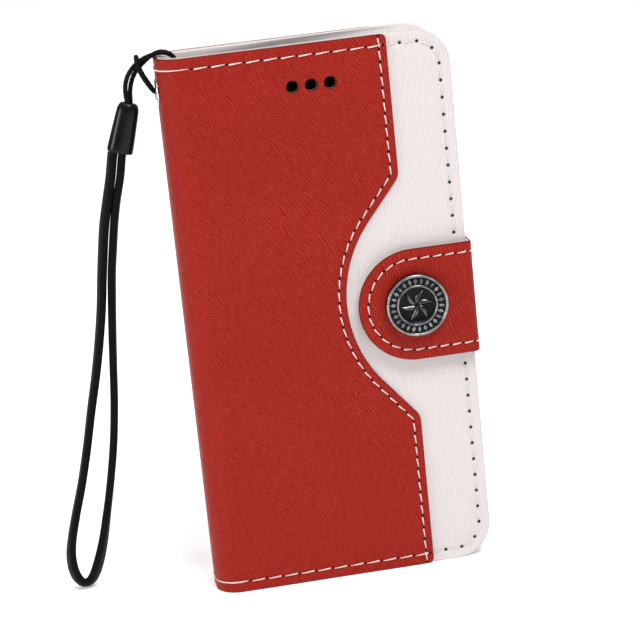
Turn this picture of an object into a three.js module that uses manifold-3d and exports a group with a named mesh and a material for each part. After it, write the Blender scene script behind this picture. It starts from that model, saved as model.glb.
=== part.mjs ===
// Phone wallet case with a clasp strap and a wrist strap, closed and standing on its short edge.
//
// Millimetres, +Z up. The pieces are laid out in case coordinates: x runs from the outer face of
// the spine (0) to the open side (CASE_WIDTH), y from the front face (0) to the back face
// (CASE_THICKNESS) and z from the bottom edge (0) to the top (CASE_HEIGHT). The case group moves
// them so that the origin is under the middle of the case.
import * as THREE from 'three';
import { mergeVertices } from 'three/addons/utils/BufferGeometryUtils.js';
import Module from 'manifold-3d';

const wasm = await Module();
wasm.setup();

// ---- Driving dimensions -----------------------------------------------------------------------

const CASE_WIDTH = 75;
const CASE_HEIGHT = 144;
const CASE_THICKNESS = 16.75;
const SPINE_RADIUS = 6.5;
const COVER_CORNER_RADIUS = 9.5;

// Each layer lies between two depths below the outer face of the closed case.
const SHEET_GAP = 0.05;
const RED_LEATHER = [0, 0.7];
const WHITE_LEATHER = [0.75, 1.4];
const BOARD = [1.45, 2.45];
const LINING = [2.5, 3.1];
const TONGUE = [1.5, 2.2];
const MITRE_GAP = 0.3;

const BOARD_INSET = 4.2;
const BOARD_LEFT = 9;
const BOARD_CORNER_RADIUS = 6;
const STIFFENER = { width: 3.2, height: 118, bottom: 8 };

// The wavy free edge of the red leather: two straights joined to a hollow arc by sloping lines.
const WAVE = {
  straightX: 58.7, arcX: 76, arcZ: 74.3, arcRadius: 34, slope: 39.4, fillet: 4, topRadius: 1.5,
};

const EARPIECE = { radius: 1.55, z: 133.3, centres: [33.6, 38.5, 43.4] };
const CAMERA = { x: 65.5, z: 129, width: 9, height: 17 };

const POCKET = { left: 12, right: 71.5, margin: 3.5, corner: 7, depths: [3.15, 3.5] };
const CARD_SLOTS = {
  first: 21, step: 9, right: 70.5, bottom: 22, height: 90, corner: 3, depth: 3.55, pitch: 0.4,
};

const PHONE = { width: 67.6, height: 138.6, thickness: 7.1, corner: 9.3 };
const SHELL = { wall: 1.2, back: 0.8, edgeRadius: 2, left: 4.6, lift: 0.3 };
const ADHESIVE_PAD = { width: 48, height: 90, thickness: 0.3, corner: 4 };
const BUTTON_WINDOWS = { front: 6.2, back: 11.4, power: [102, 118], volume: [92, 124] };
const PORT_WINDOW = { front: 6, back: 11.2, width: 42 };

const STRAP = { bottom: 57.8, top: 87.7, endX: 59.6, tongueX: 61, standOff: 0.3 };
const STRAP_LINING_THICKNESS = 0.5;
const STRAP_LEATHER_THICKNESS = 0.7;
const STRAP_CORE_THICKNESS = 0.7;
const KNUCKLE_CLEARANCE = 0.15;

const BUTTON = { x: 59.7, z: 73.15, radius: 8.25, height: 2.6 };
const RIVET = { radius: 1.5, headRadius: 3, headThickness: 0.4, clearance: 0.2 };
const MAGNET = { radius: 6, thickness: 0.9, clearance: 0.3, ringBore: 1.9 };

const EYELET = { z: 135.1, radius: 3.4, flange: 0.55, barrel: 2.05, bore: 1.6, clearance: 0.15 };
const EYELET_WASHER = { radius: 2.6, thickness: 0.3 };

const LANYARD_CORD_DIAMETER = 1.2;
const WRIST_LOOP = { width: 4.4, thickness: 1.7 };
const SLEEVE = { top: [-7.45, 9, 133.1], lean: 17.6, length: 13, radius: 3.35, neck: 1.9, flatness: 0.82 };

// The cord is looped over the spine and out through the eyelet, where its bight takes its own two
// strands: from the sleeve, over, through, round them and the same way back.
const LANYARD_CORD_ROUTE = [
  [-8, 8.4, 133.8], [-8.1, 8.2, 136], [-7.9, 8, 137.9], [-7.2, 7.9, 139.9], [-6, 7.9, 141.6],
  [-4.5, 7.8, 143], [-2.6, 7.7, 144.1], [-0.6, 7.7, 144.7], [1.5, 7.7, 145.1], [3.5, 7.7, 144.8],
  [5.1, 7.7, 143.5], [5.4, 7.7, 141.2], [4.95, 7.7, 138.8], [4.5, 7.7, 136.6], [3.6, 7.75, 135.4],
  [2.2, 7.77, 135.1], [0.6, 7.77, 135.1], [-0.7, 7.7, 135.4], [-1.7, 7.3, 136.7], [-3, 6.7, 139],
  [-3.8, 6.4, 140.8], [-4.3, 6.3, 142.4], [-4.5, 6.6, 143.8], [-4.4, 7.6, 144.6], [-4.3, 8.8, 144.6],
  [-4.1, 9.9, 144], [-3.9, 10.6, 142.7], [-3.6, 10.7, 141.2], [-3, 10.3, 139.6], [-2.2, 9.8, 138],
  [-1.5, 9.4, 136.7], [-0.7, 9.05, 135.4], [0.6, 9.01, 135.1], [2.2, 9.01, 135.1], [3.6, 9.03, 135.4],
  [4.5, 9.1, 136.6], [4.95, 9.1, 138.8], [5.4, 9.1, 141.2], [5.1, 9.1, 143.5], [3.5, 9.1, 144.8],
  [1.5, 9.1, 145.1], [-0.5, 9.1, 144.4], [-2.3, 9.15, 143.2], [-3.9, 9.2, 141.8], [-5.2, 9.3, 140.3],
  [-6.2, 9.4, 138.3], [-6.8, 9.4, 136], [-7, 9.3, 133.7],
];

// The flat loop's route, down one strand, round the bottom on the floor and up the other.
const WRIST_LOOP_ROUTE = [
  [-10.9, 9.2, 119.6], [-12, 9.8, 114], [-13.6, 10.5, 108], [-14.9, 11, 102], [-15.9, 11.7, 96],
  [-17, 12.4, 89], [-17.9, 13.2, 81], [-18.8, 14, 72], [-19.6, 15, 63], [-20.5, 16, 53],
  [-21.9, 17.2, 42], [-23.8, 18.4, 31.5], [-26, 19.3, 21.5], [-28.2, 20.2, 12.5], [-30.3, 20.8, 6.2],
  [-31.6, 21.1, 3.4], [-33, 21.3, 1.8], [-34.7, 21.3, 1.6], [-36, 21.2, 3], [-36.9, 20.9, 5.8],
  [-37.1, 20.5, 10],
  [-36.4, 20.1, 14.5], [-34.4, 19.3, 22], [-32, 18.5, 30], [-29.4, 17.5, 40], [-26.9, 16.4, 51],
  [-24.5, 15.3, 61], [-22.5, 14.3, 70.5], [-20.9, 13.3, 79.5], [-19.8, 12.5, 87.5], [-18.6, 11.7, 95.5],
  [-17.5, 11, 102], [-16, 10.5, 108.2], [-14.5, 9.8, 114.3], [-13.3, 9.2, 120.3],
];

const ARC_SEGMENTS = 8;
const CIRCLE_SEGMENTS = 24;
const CUT_MARGIN = 5;

// ---- Positions worked out from them ---------------------------------------------------------------

const tabLiningFront = -STRAP.standOff - STRAP_LINING_THICKNESS;
const tabCoreFront = tabLiningFront - SHEET_GAP - STRAP_CORE_THICKNESS;
const tabFront = tabCoreFront - SHEET_GAP - STRAP_LEATHER_THICKNESS;
const buttonBack = tabFront - SHEET_GAP;
const buttonFront = buttonBack - BUTTON.height;
const sideLiningRight = CASE_WIDTH + STRAP.standOff + STRAP_LINING_THICKNESS;
const sideRight = sideLiningRight + SHEET_GAP + STRAP_LEATHER_THICKNESS;
const strapKnuckleX = sideRight - STRAP_LEATHER_THICKNESS / 2;
const tabKnuckleY = tabFront + STRAP_LEATHER_THICKNESS / 2;
const rootKnuckleY = CASE_THICKNESS - (TONGUE[0] + TONGUE[1]) / 2;
const eyeletLeft = -EYELET.flange - SHEET_GAP;
const spineMiddleY = CASE_THICKNESS / 2;
const liningBack = CASE_THICKNESS - LINING[1];
const shellBack = liningBack - ADHESIVE_PAD.thickness - 2 * SHEET_GAP;
const shellFloor = shellBack - SHELL.back;
const shellFront = shellFloor - PHONE.thickness;
const phoneLeft = SHELL.left + SHELL.wall;
const phoneBottom = SHELL.lift + SHELL.wall;
const shellRight = phoneLeft + PHONE.width + SHELL.wall;

// ---- Materials --------------------------------------------------------------------------------------

function finish(color, roughness, metalness = 0) {
  return () => new THREE.MeshStandardMaterial({ color, roughness, metalness });
}

const redLeather = finish(0xb12a22, 0.55);
const whiteLeather = finish(0xf1e9ea, 0.55);
const greyBoard = finish(0x8c8479, 0.9);
const liningCloth = finish(0xe9dfdc, 0.85);
const blackPlastic = finish(0x17171a, 0.45);
const pad = finish(0xd9d6cf, 0.8);
const darkMetal = finish(0x26262a, 0.3, 1);
const brightMetal = finish(0xc8c8cc, 0.22, 1);
const blackCord = finish(0x0e0e11, 0.8);

// ---- Solids -------------------------------------------------------------------------------------------

function toSolid(geometry) {
  geometry.deleteAttribute('normal');
  geometry.deleteAttribute('uv');
  const merged = mergeVertices(geometry, 1e-4);
  const vertProperties = new Float32Array(merged.attributes.position.array);
  const triVerts = new Uint32Array(merged.index.array);
  return new wasm.Manifold(new wasm.Mesh({ numProp: 3, vertProperties, triVerts }));
}

function toGeometry(solid) {
  const { numProp, vertProperties, triVerts } = solid.getMesh();
  const positions = new Float32Array((vertProperties.length / numProp) * 3);
  for (let i = 0; i < positions.length / 3; i += 1) {
    positions.set(vertProperties.subarray(i * numProp, i * numProp + 3), i * 3);
  }
  const geometry = new THREE.BufferGeometry();
  geometry.setAttribute('position', new THREE.BufferAttribute(positions, 3));
  geometry.setIndex(new THREE.BufferAttribute(new Uint32Array(triVerts), 1));
  geometry.computeVertexNormals();
  return geometry;
}

function piece(name, solid, material) {
  const mesh = new THREE.Mesh(toGeometry(solid), material());
  mesh.name = name;
  return mesh;
}

// An outline drawn in x and z, given thickness from yFront to yBack.
function plate(shape, yFront, yBack, curveSegments = ARC_SEGMENTS) {
  const options = { depth: yBack - yFront, bevelEnabled: false, curveSegments };
  const geometry = new THREE.ExtrudeGeometry(shape, options);
  geometry.rotateX(Math.PI / 2);
  geometry.translate(0, yBack, 0);
  return toSolid(geometry);
}

// A section drawn in x and y, drawn out from zBottom to zTop.
function prism(shape, zBottom, zTop) {
  const options = { depth: zTop - zBottom, bevelEnabled: false, curveSegments: ARC_SEGMENTS };
  const geometry = new THREE.ExtrudeGeometry(shape, options);
  geometry.translate(0, 0, zBottom);
  return toSolid(geometry);
}

function polygon(points) {
  return new THREE.Shape(points.map(([x, y]) => new THREE.Vector2(x, y)));
}

function box(low, high) {
  const size = high.map((value, axis) => value - low[axis]);
  const geometry = new THREE.BoxGeometry(...size);
  geometry.translate(...low.map((value, axis) => value + size[axis] / 2));
  return toSolid(geometry);
}

function roundedRectangle(left, bottom, right, top, radius) {
  const shape = new THREE.Shape();
  shape.moveTo(left + radius, bottom);
  shape.absarc(right - radius, bottom + radius, radius, -Math.PI / 2, 0, false);
  shape.absarc(right - radius, top - radius, radius, 0, Math.PI / 2, false);
  shape.absarc(left + radius, top - radius, radius, Math.PI / 2, Math.PI, false);
  shape.absarc(left + radius, bottom + radius, radius, Math.PI, 1.5 * Math.PI, false);
  return shape;
}

// A round bar along y.
function barY(radius, x, z, yFront, yBack) {
  const geometry = new THREE.CylinderGeometry(radius, radius, yBack - yFront, CIRCLE_SEGMENTS);
  geometry.translate(x, (yFront + yBack) / 2, z);
  return toSolid(geometry);
}

// A round bar along x through the middle of the spine.
function barX(radius, xLeft, xRight) {
  const geometry = new THREE.CylinderGeometry(radius, radius, xRight - xLeft, CIRCLE_SEGMENTS);
  geometry.rotateZ(Math.PI / 2);
  geometry.translate((xLeft + xRight) / 2, spineMiddleY, EYELET.z);
  return toSolid(geometry);
}

// ---- Folded sheets: the layers that wrap from the front cover round the spine to the back cover ------

function foldedSheet([outer, inner]) {
  const back = CASE_THICKNESS;
  const radius = SPINE_RADIUS;
  const shape = new THREE.Shape();
  shape.moveTo(CASE_WIDTH, inner);
  shape.lineTo(CASE_WIDTH, outer);
  shape.absarc(radius, radius, radius - outer, -Math.PI / 2, -Math.PI, true);
  shape.absarc(radius, back - radius, radius - outer, Math.PI, Math.PI / 2, true);
  shape.lineTo(CASE_WIDTH, back - outer);
  shape.lineTo(CASE_WIDTH, back - inner);
  shape.absarc(radius, back - radius, radius - inner, Math.PI / 2, Math.PI, false);
  shape.absarc(radius, radius, radius - inner, -Math.PI, -Math.PI / 2, false);
  return prism(shape, 0, CASE_HEIGHT);
}

// The sheet is parted on the two lines at 45 degrees through the corners of the closed case.
const mitre = (MITRE_GAP / 2) * Math.SQRT2;
const half = CASE_THICKNESS / 2;
const zones = {
  front: polygon([
    [-CUT_MARGIN + mitre, -CUT_MARGIN], [CASE_WIDTH + CUT_MARGIN, -CUT_MARGIN],
    [CASE_WIDTH + CUT_MARGIN, half], [half + mitre, half],
  ]),
  spine: polygon([
    [-CUT_MARGIN, -CUT_MARGIN + mitre], [half - mitre, half],
    [-CUT_MARGIN, CASE_THICKNESS + CUT_MARGIN - mitre],
  ]),
  back: polygon([
    [half + mitre, half], [CASE_WIDTH + CUT_MARGIN, half],
    [CASE_WIDTH + CUT_MARGIN, CASE_THICKNESS + CUT_MARGIN],
    [-CUT_MARGIN + mitre, CASE_THICKNESS + CUT_MARGIN],
  ]),
};

function zone(name) {
  return prism(zones[name], -CUT_MARGIN, CASE_HEIGHT + CUT_MARGIN);
}

// The cover's outline: square at the spine, round at the open side.
function coverOutline() {
  const radius = COVER_CORNER_RADIUS;
  const shape = new THREE.Shape();
  shape.moveTo(-CUT_MARGIN, CASE_HEIGHT);
  shape.lineTo(-CUT_MARGIN, 0);
  shape.absarc(CASE_WIDTH - radius, radius, radius, -Math.PI / 2, 0, false);
  shape.absarc(CASE_WIDTH - radius, CASE_HEIGHT - radius, radius, 0, Math.PI / 2, false);
  return shape;
}

// The red leather's outline, with its wavy free edge.
function waveOutline() {
  const slope = THREE.MathUtils.degToRad(WAVE.slope);
  const tangentX = WAVE.arcX - WAVE.arcRadius * Math.cos(slope);
  const tangentZ = WAVE.arcRadius * Math.sin(slope);
  const bendZ = tangentZ + (WAVE.straightX - tangentX) / Math.tan(slope);
  const filletZ = bendZ + WAVE.fillet * Math.tan(slope / 2);
  const filletX = WAVE.straightX - WAVE.fillet;
  const cornerX = WAVE.straightX - WAVE.topRadius;
  const shape = new THREE.Shape();
  shape.moveTo(-CUT_MARGIN, CASE_HEIGHT);
  shape.lineTo(-CUT_MARGIN, 0);
  shape.absarc(cornerX, WAVE.topRadius, WAVE.topRadius, -Math.PI / 2, 0, false);
  shape.absarc(filletX, WAVE.arcZ - filletZ, WAVE.fillet, 0, slope, false);
  shape.absarc(WAVE.arcX, WAVE.arcZ, WAVE.arcRadius, Math.PI + slope, Math.PI - slope, true);
  shape.absarc(filletX, WAVE.arcZ + filletZ, WAVE.fillet, -slope, 0, false);
  shape.absarc(cornerX, CASE_HEIGHT - WAVE.topRadius, WAVE.topRadius, 0, Math.PI / 2, false);
  return shape;
}

function throughPlate(shape) {
  return plate(shape, -CUT_MARGIN, CASE_THICKNESS + CUT_MARGIN);
}

function cutEarpieces(solid) {
  return EARPIECE.centres.reduce(
    (rest, x) => rest.subtract(barY(EARPIECE.radius, x, EARPIECE.z, -CUT_MARGIN, half)),
    solid,
  );
}

function cameraWindow() {
  const halfWidth = CAMERA.width / 2;
  const halfHeight = CAMERA.height / 2;
  const shape = roundedRectangle(
    CAMERA.x - halfWidth, CAMERA.z - halfHeight, CAMERA.x + halfWidth, CAMERA.z + halfHeight, halfWidth,
  );
  return plate(shape, half, CASE_THICKNESS + CUT_MARGIN);
}

// ---- Front cover ----------------------------------------------------------------------------------------

function frontSheet(depths, outline) {
  return cutEarpieces(foldedSheet(depths).intersect(zone('front')).intersect(throughPlate(outline)));
}

function boardOutline() {
  const inset = BOARD_INSET;
  return roundedRectangle(
    BOARD_LEFT, inset, CASE_WIDTH - inset, CASE_HEIGHT - inset, BOARD_CORNER_RADIUS,
  );
}

function frontBoard() {
  const magnetSeat = barY(MAGNET.radius + MAGNET.clearance, BUTTON.x, BUTTON.z, 0, half);
  return cutEarpieces(plate(boardOutline(), ...BOARD)).subtract(magnetSeat);
}

function coverMagnet() {
  return barY(MAGNET.radius, BUTTON.x, BUTTON.z, BOARD[0], BOARD[0] + MAGNET.thickness);
}

function cashPocket() {
  const outline = roundedRectangle(
    POCKET.left, POCKET.margin, POCKET.right, CASE_HEIGHT - POCKET.margin, POCKET.corner,
  );
  return cutEarpieces(plate(outline, ...POCKET.depths));
}

// The slots open towards the spine and are stepped, so that each card shows its edge.
function cardSlot(index) {
  const { first, step, right, bottom, height, corner, depth, pitch } = CARD_SLOTS;
  const outline = roundedRectangle(first + index * step, bottom, right, bottom + height, corner);
  const front = depth + index * pitch;
  return plate(outline, front, front + pitch - SHEET_GAP);
}

function frontCover() {
  const group = new THREE.Group();
  group.add(piece('front_red_leather', frontSheet(RED_LEATHER, waveOutline()), redLeather));
  group.add(piece('front_white_leather', frontSheet(WHITE_LEATHER, coverOutline()), whiteLeather));
  group.add(piece('front_board', frontBoard(), greyBoard));
  group.add(piece('front_lining', frontSheet(LINING, coverOutline()), liningCloth));
  group.add(piece('cash_pocket', cashPocket(), liningCloth));
  for (let index = 0; index < 3; index += 1) {
    group.add(piece(`card_slot_${index + 1}`, cardSlot(index), liningCloth));
  }
  group.add(piece('cover_magnet', coverMagnet(), brightMetal));
  return group;
}

// ---- Spine ------------------------------------------------------------------------------------------------

function spineSheet(depths) {
  const hole = barX(EYELET.barrel + EYELET.clearance, -CUT_MARGIN, half);
  return foldedSheet(depths).intersect(zone('spine')).subtract(hole);
}

function spineStiffener() {
  const { width, height, bottom } = STIFFENER;
  const low = [BOARD[0], spineMiddleY - width / 2, bottom];
  return box(low, [BOARD[1], spineMiddleY + width / 2, bottom + height]);
}

// A flange outside the spine and a barrel that ends in the washer inside it.
function eyelet() {
  const flange = barX(EYELET.radius, eyeletLeft, eyeletLeft + EYELET.flange);
  const barrel = barX(EYELET.barrel, eyeletLeft, LINING[1] + EYELET_WASHER.thickness + SHEET_GAP);
  return flange.add(barrel).subtract(barX(EYELET.bore, -CUT_MARGIN, CUT_MARGIN));
}

function eyeletWasher() {
  const left = LINING[1] + SHEET_GAP;
  const ring = barX(EYELET_WASHER.radius, left, left + EYELET_WASHER.thickness);
  return ring.subtract(barX(EYELET.barrel + SHEET_GAP, -CUT_MARGIN, CUT_MARGIN));
}

function spine() {
  const group = new THREE.Group();
  group.add(piece('spine_red_leather', spineSheet(RED_LEATHER), redLeather));
  group.add(piece('spine_white_leather', spineSheet(WHITE_LEATHER), whiteLeather));
  group.add(piece('spine_stiffener', spineStiffener(), greyBoard));
  group.add(piece('spine_lining', spineSheet(LINING), liningCloth));
  group.add(piece('lanyard_eyelet', eyelet(), brightMetal));
  group.add(piece('eyelet_washer', eyeletWasher(), brightMetal));
  return group;
}

// ---- Back cover -------------------------------------------------------------------------------------------

function backSheet(depths, outline) {
  const sheet = foldedSheet(depths).intersect(zone('back')).intersect(throughPlate(outline));
  return sheet.subtract(cameraWindow());
}

function backDepths([outer, inner]) {
  return [CASE_THICKNESS - inner, CASE_THICKNESS - outer];
}

function backBoard() {
  const notch = box(
    [STRAP.tongueX - STRAP.standOff, half, STRAP.bottom - STRAP.standOff],
    [CASE_WIDTH + CUT_MARGIN, CASE_THICKNESS, STRAP.top + STRAP.standOff],
  );
  return plate(boardOutline(), ...backDepths(BOARD)).subtract(cameraWindow()).subtract(notch);
}

function strapTongue() {
  const [front, back] = backDepths(TONGUE);
  const right = strapKnuckleX - STRAP_LEATHER_THICKNESS / 2 - KNUCKLE_CLEARANCE;
  return box([STRAP.tongueX, front, STRAP.bottom], [right, back, STRAP.top]);
}

function adhesivePad() {
  const middle = (SHELL.left + shellRight) / 2;
  const { width, height, thickness, corner } = ADHESIVE_PAD;
  const left = middle - width / 2;
  const bottom = (CASE_HEIGHT - height) / 2;
  const outline = roundedRectangle(left, bottom, left + width, bottom + height, corner);
  const back = liningBack - SHEET_GAP;
  return plate(outline, back - thickness, back);
}

// The tray's outside, with its back edge rounded by the bevel of the extrusion.
function shellBody() {
  const radius = SHELL.edgeRadius;
  const bottom = SHELL.lift;
  const top = phoneBottom + PHONE.height + SHELL.wall;
  const outline = roundedRectangle(
    SHELL.left + radius, bottom + radius, shellRight - radius, top - radius,
    PHONE.corner + SHELL.wall - radius,
  );
  const depth = shellBack - shellFront;
  const geometry = new THREE.ExtrudeGeometry(outline, {
    depth, bevelEnabled: true, bevelThickness: radius, bevelSize: radius, bevelSegments: 3,
    curveSegments: ARC_SEGMENTS,
  });
  geometry.rotateX(Math.PI / 2);
  geometry.translate(0, shellBack - radius, 0);
  const farCorner = [CASE_WIDTH * 2, shellFront, CASE_HEIGHT * 2];
  const ahead = box([-CUT_MARGIN, -2 * depth, -CUT_MARGIN], farCorner);
  return toSolid(geometry).subtract(ahead);
}

function phoneShell() {
  const right = phoneLeft + PHONE.width;
  const cavity = roundedRectangle(
    phoneLeft, phoneBottom, right, phoneBottom + PHONE.height, PHONE.corner,
  );
  const { front, back, power, volume } = BUTTON_WINDOWS;
  const middle = (phoneLeft + right) / 2;
  const portHalf = PORT_WINDOW.width / 2;
  const powerWindow = box([right - CUT_MARGIN, front, power[0]], [CASE_WIDTH, back, power[1]]);
  const volumeWindow = box([0, front, volume[0]], [phoneLeft + CUT_MARGIN, back, volume[1]]);
  const portWindow = box(
    [middle - portHalf, PORT_WINDOW.front, -CUT_MARGIN],
    [middle + portHalf, PORT_WINDOW.back, phoneBottom + CUT_MARGIN],
  );
  return shellBody()
    .subtract(plate(cavity, shellFront - CUT_MARGIN, shellFloor))
    .subtract(cameraWindow())
    .subtract(powerWindow)
    .subtract(volumeWindow)
    .subtract(portWindow);
}

function backCover() {
  const group = new THREE.Group();
  group.add(piece('back_red_leather', backSheet(RED_LEATHER, waveOutline()), redLeather));
  group.add(piece('back_white_leather', backSheet(WHITE_LEATHER, coverOutline()), whiteLeather));
  group.add(piece('back_board', backBoard(), greyBoard));
  group.add(piece('back_lining', backSheet(LINING, coverOutline()), liningCloth));
  group.add(piece('strap_tongue', strapTongue(), redLeather));
  group.add(piece('shell_adhesive_pad', adhesivePad(), pad));
  group.add(piece('phone_shell', phoneShell(), blackPlastic));
  return group;
}

// ---- Clasp strap ------------------------------------------------------------------------------------------

// The stretch across the open side. Its leather has a round end on each fold line.
function strapSide() {
  const halfThickness = STRAP_LEATHER_THICKNESS / 2;
  const section = new THREE.Shape();
  section.absarc(strapKnuckleX, tabKnuckleY, halfThickness, -Math.PI, 0, false);
  section.absarc(strapKnuckleX, rootKnuckleY, halfThickness, 0, Math.PI, false);
  const liningLeft = CASE_WIDTH + STRAP.standOff;
  const low = [liningLeft, 0, STRAP.bottom];
  const high = [liningLeft + STRAP_LINING_THICKNESS, CASE_THICKNESS - LINING[1], STRAP.top];
  const group = new THREE.Group();
  group.add(piece('strap_side_leather', prism(section, STRAP.bottom, STRAP.top), redLeather));
  group.add(piece('strap_side_lining', box(low, high), redLeather));
  return group;
}

// The tab's outline, with a round end, up to the given right edge.
function tabOutline(right, inset = 0) {
  const radius = (STRAP.top - STRAP.bottom) / 2 - inset;
  const middle = (STRAP.top + STRAP.bottom) / 2;
  const shape = new THREE.Shape();
  shape.moveTo(right, middle - radius);
  shape.lineTo(right, middle + radius);
  shape.absarc(STRAP.endX, middle, radius, Math.PI / 2, 1.5 * Math.PI, false);
  return shape;
}

function tabLayer(right, yFront, yBack, inset, holeRadius) {
  const outline = tabOutline(right, inset);
  const hole = barY(holeRadius, BUTTON.x, BUTTON.z, yFront - 1, yBack + 1);
  return plate(outline, yFront, yBack, 2 * ARC_SEGMENTS).subtract(hole);
}

function strapMagnet() {
  const thickness = STRAP_CORE_THICKNESS;
  const disc = barY(MAGNET.radius, BUTTON.x, BUTTON.z, tabCoreFront, tabCoreFront + thickness);
  return disc.subtract(barY(MAGNET.ringBore, BUTTON.x, BUTTON.z, tabFront, 0));
}

function turned(profile) {
  const points = profile.map(([r, h]) => new THREE.Vector2(r, h));
  return toSolid(new THREE.LatheGeometry(points, 2 * CIRCLE_SEGMENTS));
}

// Cast cap: rounded rim, lettering band, raised inner ring and a dished middle.
function buttonCap() {
  const radius = BUTTON.radius;
  const front = BUTTON.height;
  const profile = [
    [0, 0], [radius - 0.6, 0], [radius, 0.6], [radius, front - 0.7], [radius - 0.35, front - 0.15],
    [radius - 0.8, front], [radius - 1.2, front - 0.1], [radius - 1.4, front - 0.5],
    [5.55, front - 0.5], [5.35, front - 0.15], [4.95, front - 0.15], [4.7, front - 0.7],
    [3.5, front - 1], [0, front - 1],
  ];
  return turned(profile).rotate([180, 0, 0]).translate([BUTTON.x, buttonBack, BUTTON.z]);
}

// The rivet holds the cap on the tab; its head lies under the tab's lining.
function buttonRivet() {
  const { x, z } = BUTTON;
  const headFront = -STRAP.standOff + SHEET_GAP;
  const shank = barY(RIVET.radius, x, z, buttonBack + SHEET_GAP, headFront + RIVET.headThickness);
  return shank.add(barY(RIVET.headRadius, x, z, headFront, headFront + RIVET.headThickness));
}

function strapTab() {
  const rivetHole = RIVET.radius + RIVET.clearance;
  const leatherRight = strapKnuckleX - STRAP_LEATHER_THICKNESS / 2 - KNUCKLE_CLEARANCE;
  const coreBack = tabCoreFront + STRAP_CORE_THICKNESS;
  const leatherBack = tabFront + STRAP_LEATHER_THICKNESS;
  const leather = tabLayer(leatherRight, tabFront, leatherBack, 0, rivetHole);
  const core = tabLayer(CASE_WIDTH, tabCoreFront, coreBack, 1.2, MAGNET.radius + MAGNET.clearance);
  const lining = tabLayer(CASE_WIDTH, tabLiningFront, -STRAP.standOff, 0, rivetHole);
  const group = new THREE.Group();
  group.add(piece('strap_tab_leather', leather, redLeather));
  group.add(piece('strap_tab_core', core, greyBoard));
  group.add(piece('strap_tab_lining', lining, redLeather));
  group.add(piece('strap_magnet', strapMagnet(), brightMetal));
  group.add(piece('button_cap', buttonCap(), darkMetal));
  group.add(piece('button_rivet', buttonRivet(), brightMetal));
  return group;
}

// ---- Wrist strap ------------------------------------------------------------------------------------------

function route(points) {
  const places = points.map((point) => new THREE.Vector3(...point));
  return new THREE.CatmullRomCurve3(places, false, 'centripetal');
}

function alongRoute(section, points, step) {
  const extrudePath = route(points);
  const steps = Math.round(extrudePath.getLength() / step);
  return toSolid(new THREE.ExtrudeGeometry(section, { steps, extrudePath, bevelEnabled: false }));
}

function roundSection(diameter) {
  const corners = Array.from({ length: 8 }, (_, index) => (index + 0.5) * (Math.PI / 4));
  const radius = diameter / 2;
  return polygon(corners.map((angle) => [Math.cos(angle) * radius, Math.sin(angle) * radius]));
}

// A flat section with its four corners cut off; its width lies across the loop.
function flatSection({ width, thickness }) {
  const w = width / 2;
  const t = thickness / 2;
  const cut = thickness / 4;
  return polygon([
    [w, -t + cut], [w, t - cut], [w - cut, t], [-w + cut, t],
    [-w, t - cut], [-w, -t + cut], [-w + cut, -t], [w - cut, -t],
  ]);
}

// Moulded sleeve, wider towards the flat loop, leaning as the strap hangs.
function sleeve() {
  const { top, lean, length, radius, neck, flatness } = SLEEVE;
  const profile = [
    [0, -length], [radius - 0.5, -length], [radius, -length + 0.5], [radius, -length + 2],
    [3, -4.6], [2.8, -1.5], [2.4, -0.5], [neck, 0], [0, 0],
  ];
  const upright = turned(profile).rotate([90, 0, 0]).scale([1, flatness, 1]);
  return upright.rotate([0, lean, 0]).translate(top);
}

function wristStrap() {
  const cordStep = 1.5 * LANYARD_CORD_DIAMETER;
  const cord = alongRoute(roundSection(LANYARD_CORD_DIAMETER), LANYARD_CORD_ROUTE, cordStep);
  const loop = alongRoute(flatSection(WRIST_LOOP), WRIST_LOOP_ROUTE, WRIST_LOOP.width);
  const group = new THREE.Group();
  group.add(piece('lanyard_cord', cord, blackCord));
  group.add(piece('lanyard_sleeve', sleeve(), blackPlastic));
  group.add(piece('wrist_loop', loop, blackCord));
  return group;
}

// ---- The whole case ---------------------------------------------------------------------------------------

const phoneWalletCase = new THREE.Group();
phoneWalletCase.add(backCover(), spine(), frontCover(), strapSide(), strapTab(), wristStrap());
phoneWalletCase.position.set(-(eyeletLeft + sideRight) / 2, -(buttonFront + CASE_THICKNESS) / 2, 0);

export default phoneWalletCase;
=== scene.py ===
"""Blender scene of a phone wallet case with a clasp strap and a wrist strap, closed and standing."""

import logging
import math
from collections.abc import Callable, Sequence
from dataclasses import dataclass, field
from enum import Enum

import bmesh
import bpy
import numpy as np
from mathutils import Matrix, Vector
from mathutils.geometry import delaunay_2d_cdt
from mathutils.kdtree import KDTree


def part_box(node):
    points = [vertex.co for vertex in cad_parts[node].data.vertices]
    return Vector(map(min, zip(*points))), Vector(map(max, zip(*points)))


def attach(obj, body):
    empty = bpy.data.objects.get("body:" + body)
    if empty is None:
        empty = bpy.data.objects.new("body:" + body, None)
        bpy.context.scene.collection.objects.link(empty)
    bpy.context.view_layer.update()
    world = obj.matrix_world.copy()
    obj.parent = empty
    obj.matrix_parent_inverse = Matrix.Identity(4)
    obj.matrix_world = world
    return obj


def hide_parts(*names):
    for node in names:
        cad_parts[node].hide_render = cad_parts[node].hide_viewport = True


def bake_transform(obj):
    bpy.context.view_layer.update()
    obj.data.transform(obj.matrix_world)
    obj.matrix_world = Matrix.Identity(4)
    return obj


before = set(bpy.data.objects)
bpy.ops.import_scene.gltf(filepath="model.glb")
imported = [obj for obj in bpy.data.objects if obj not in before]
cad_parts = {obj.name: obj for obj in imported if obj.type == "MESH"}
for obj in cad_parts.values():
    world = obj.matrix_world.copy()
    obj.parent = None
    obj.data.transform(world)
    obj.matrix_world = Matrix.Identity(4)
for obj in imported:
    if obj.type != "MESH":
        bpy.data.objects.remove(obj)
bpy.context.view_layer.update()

LOG = logging.getLogger("phone_wallet_case")
MM = 0.001

# ---- The case's own frame ----
# Sizes are in millimetres in case coordinates: x from the outer face of the spine to the open side,
# y from the front face to the back face and z up from the bottom edge.

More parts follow.
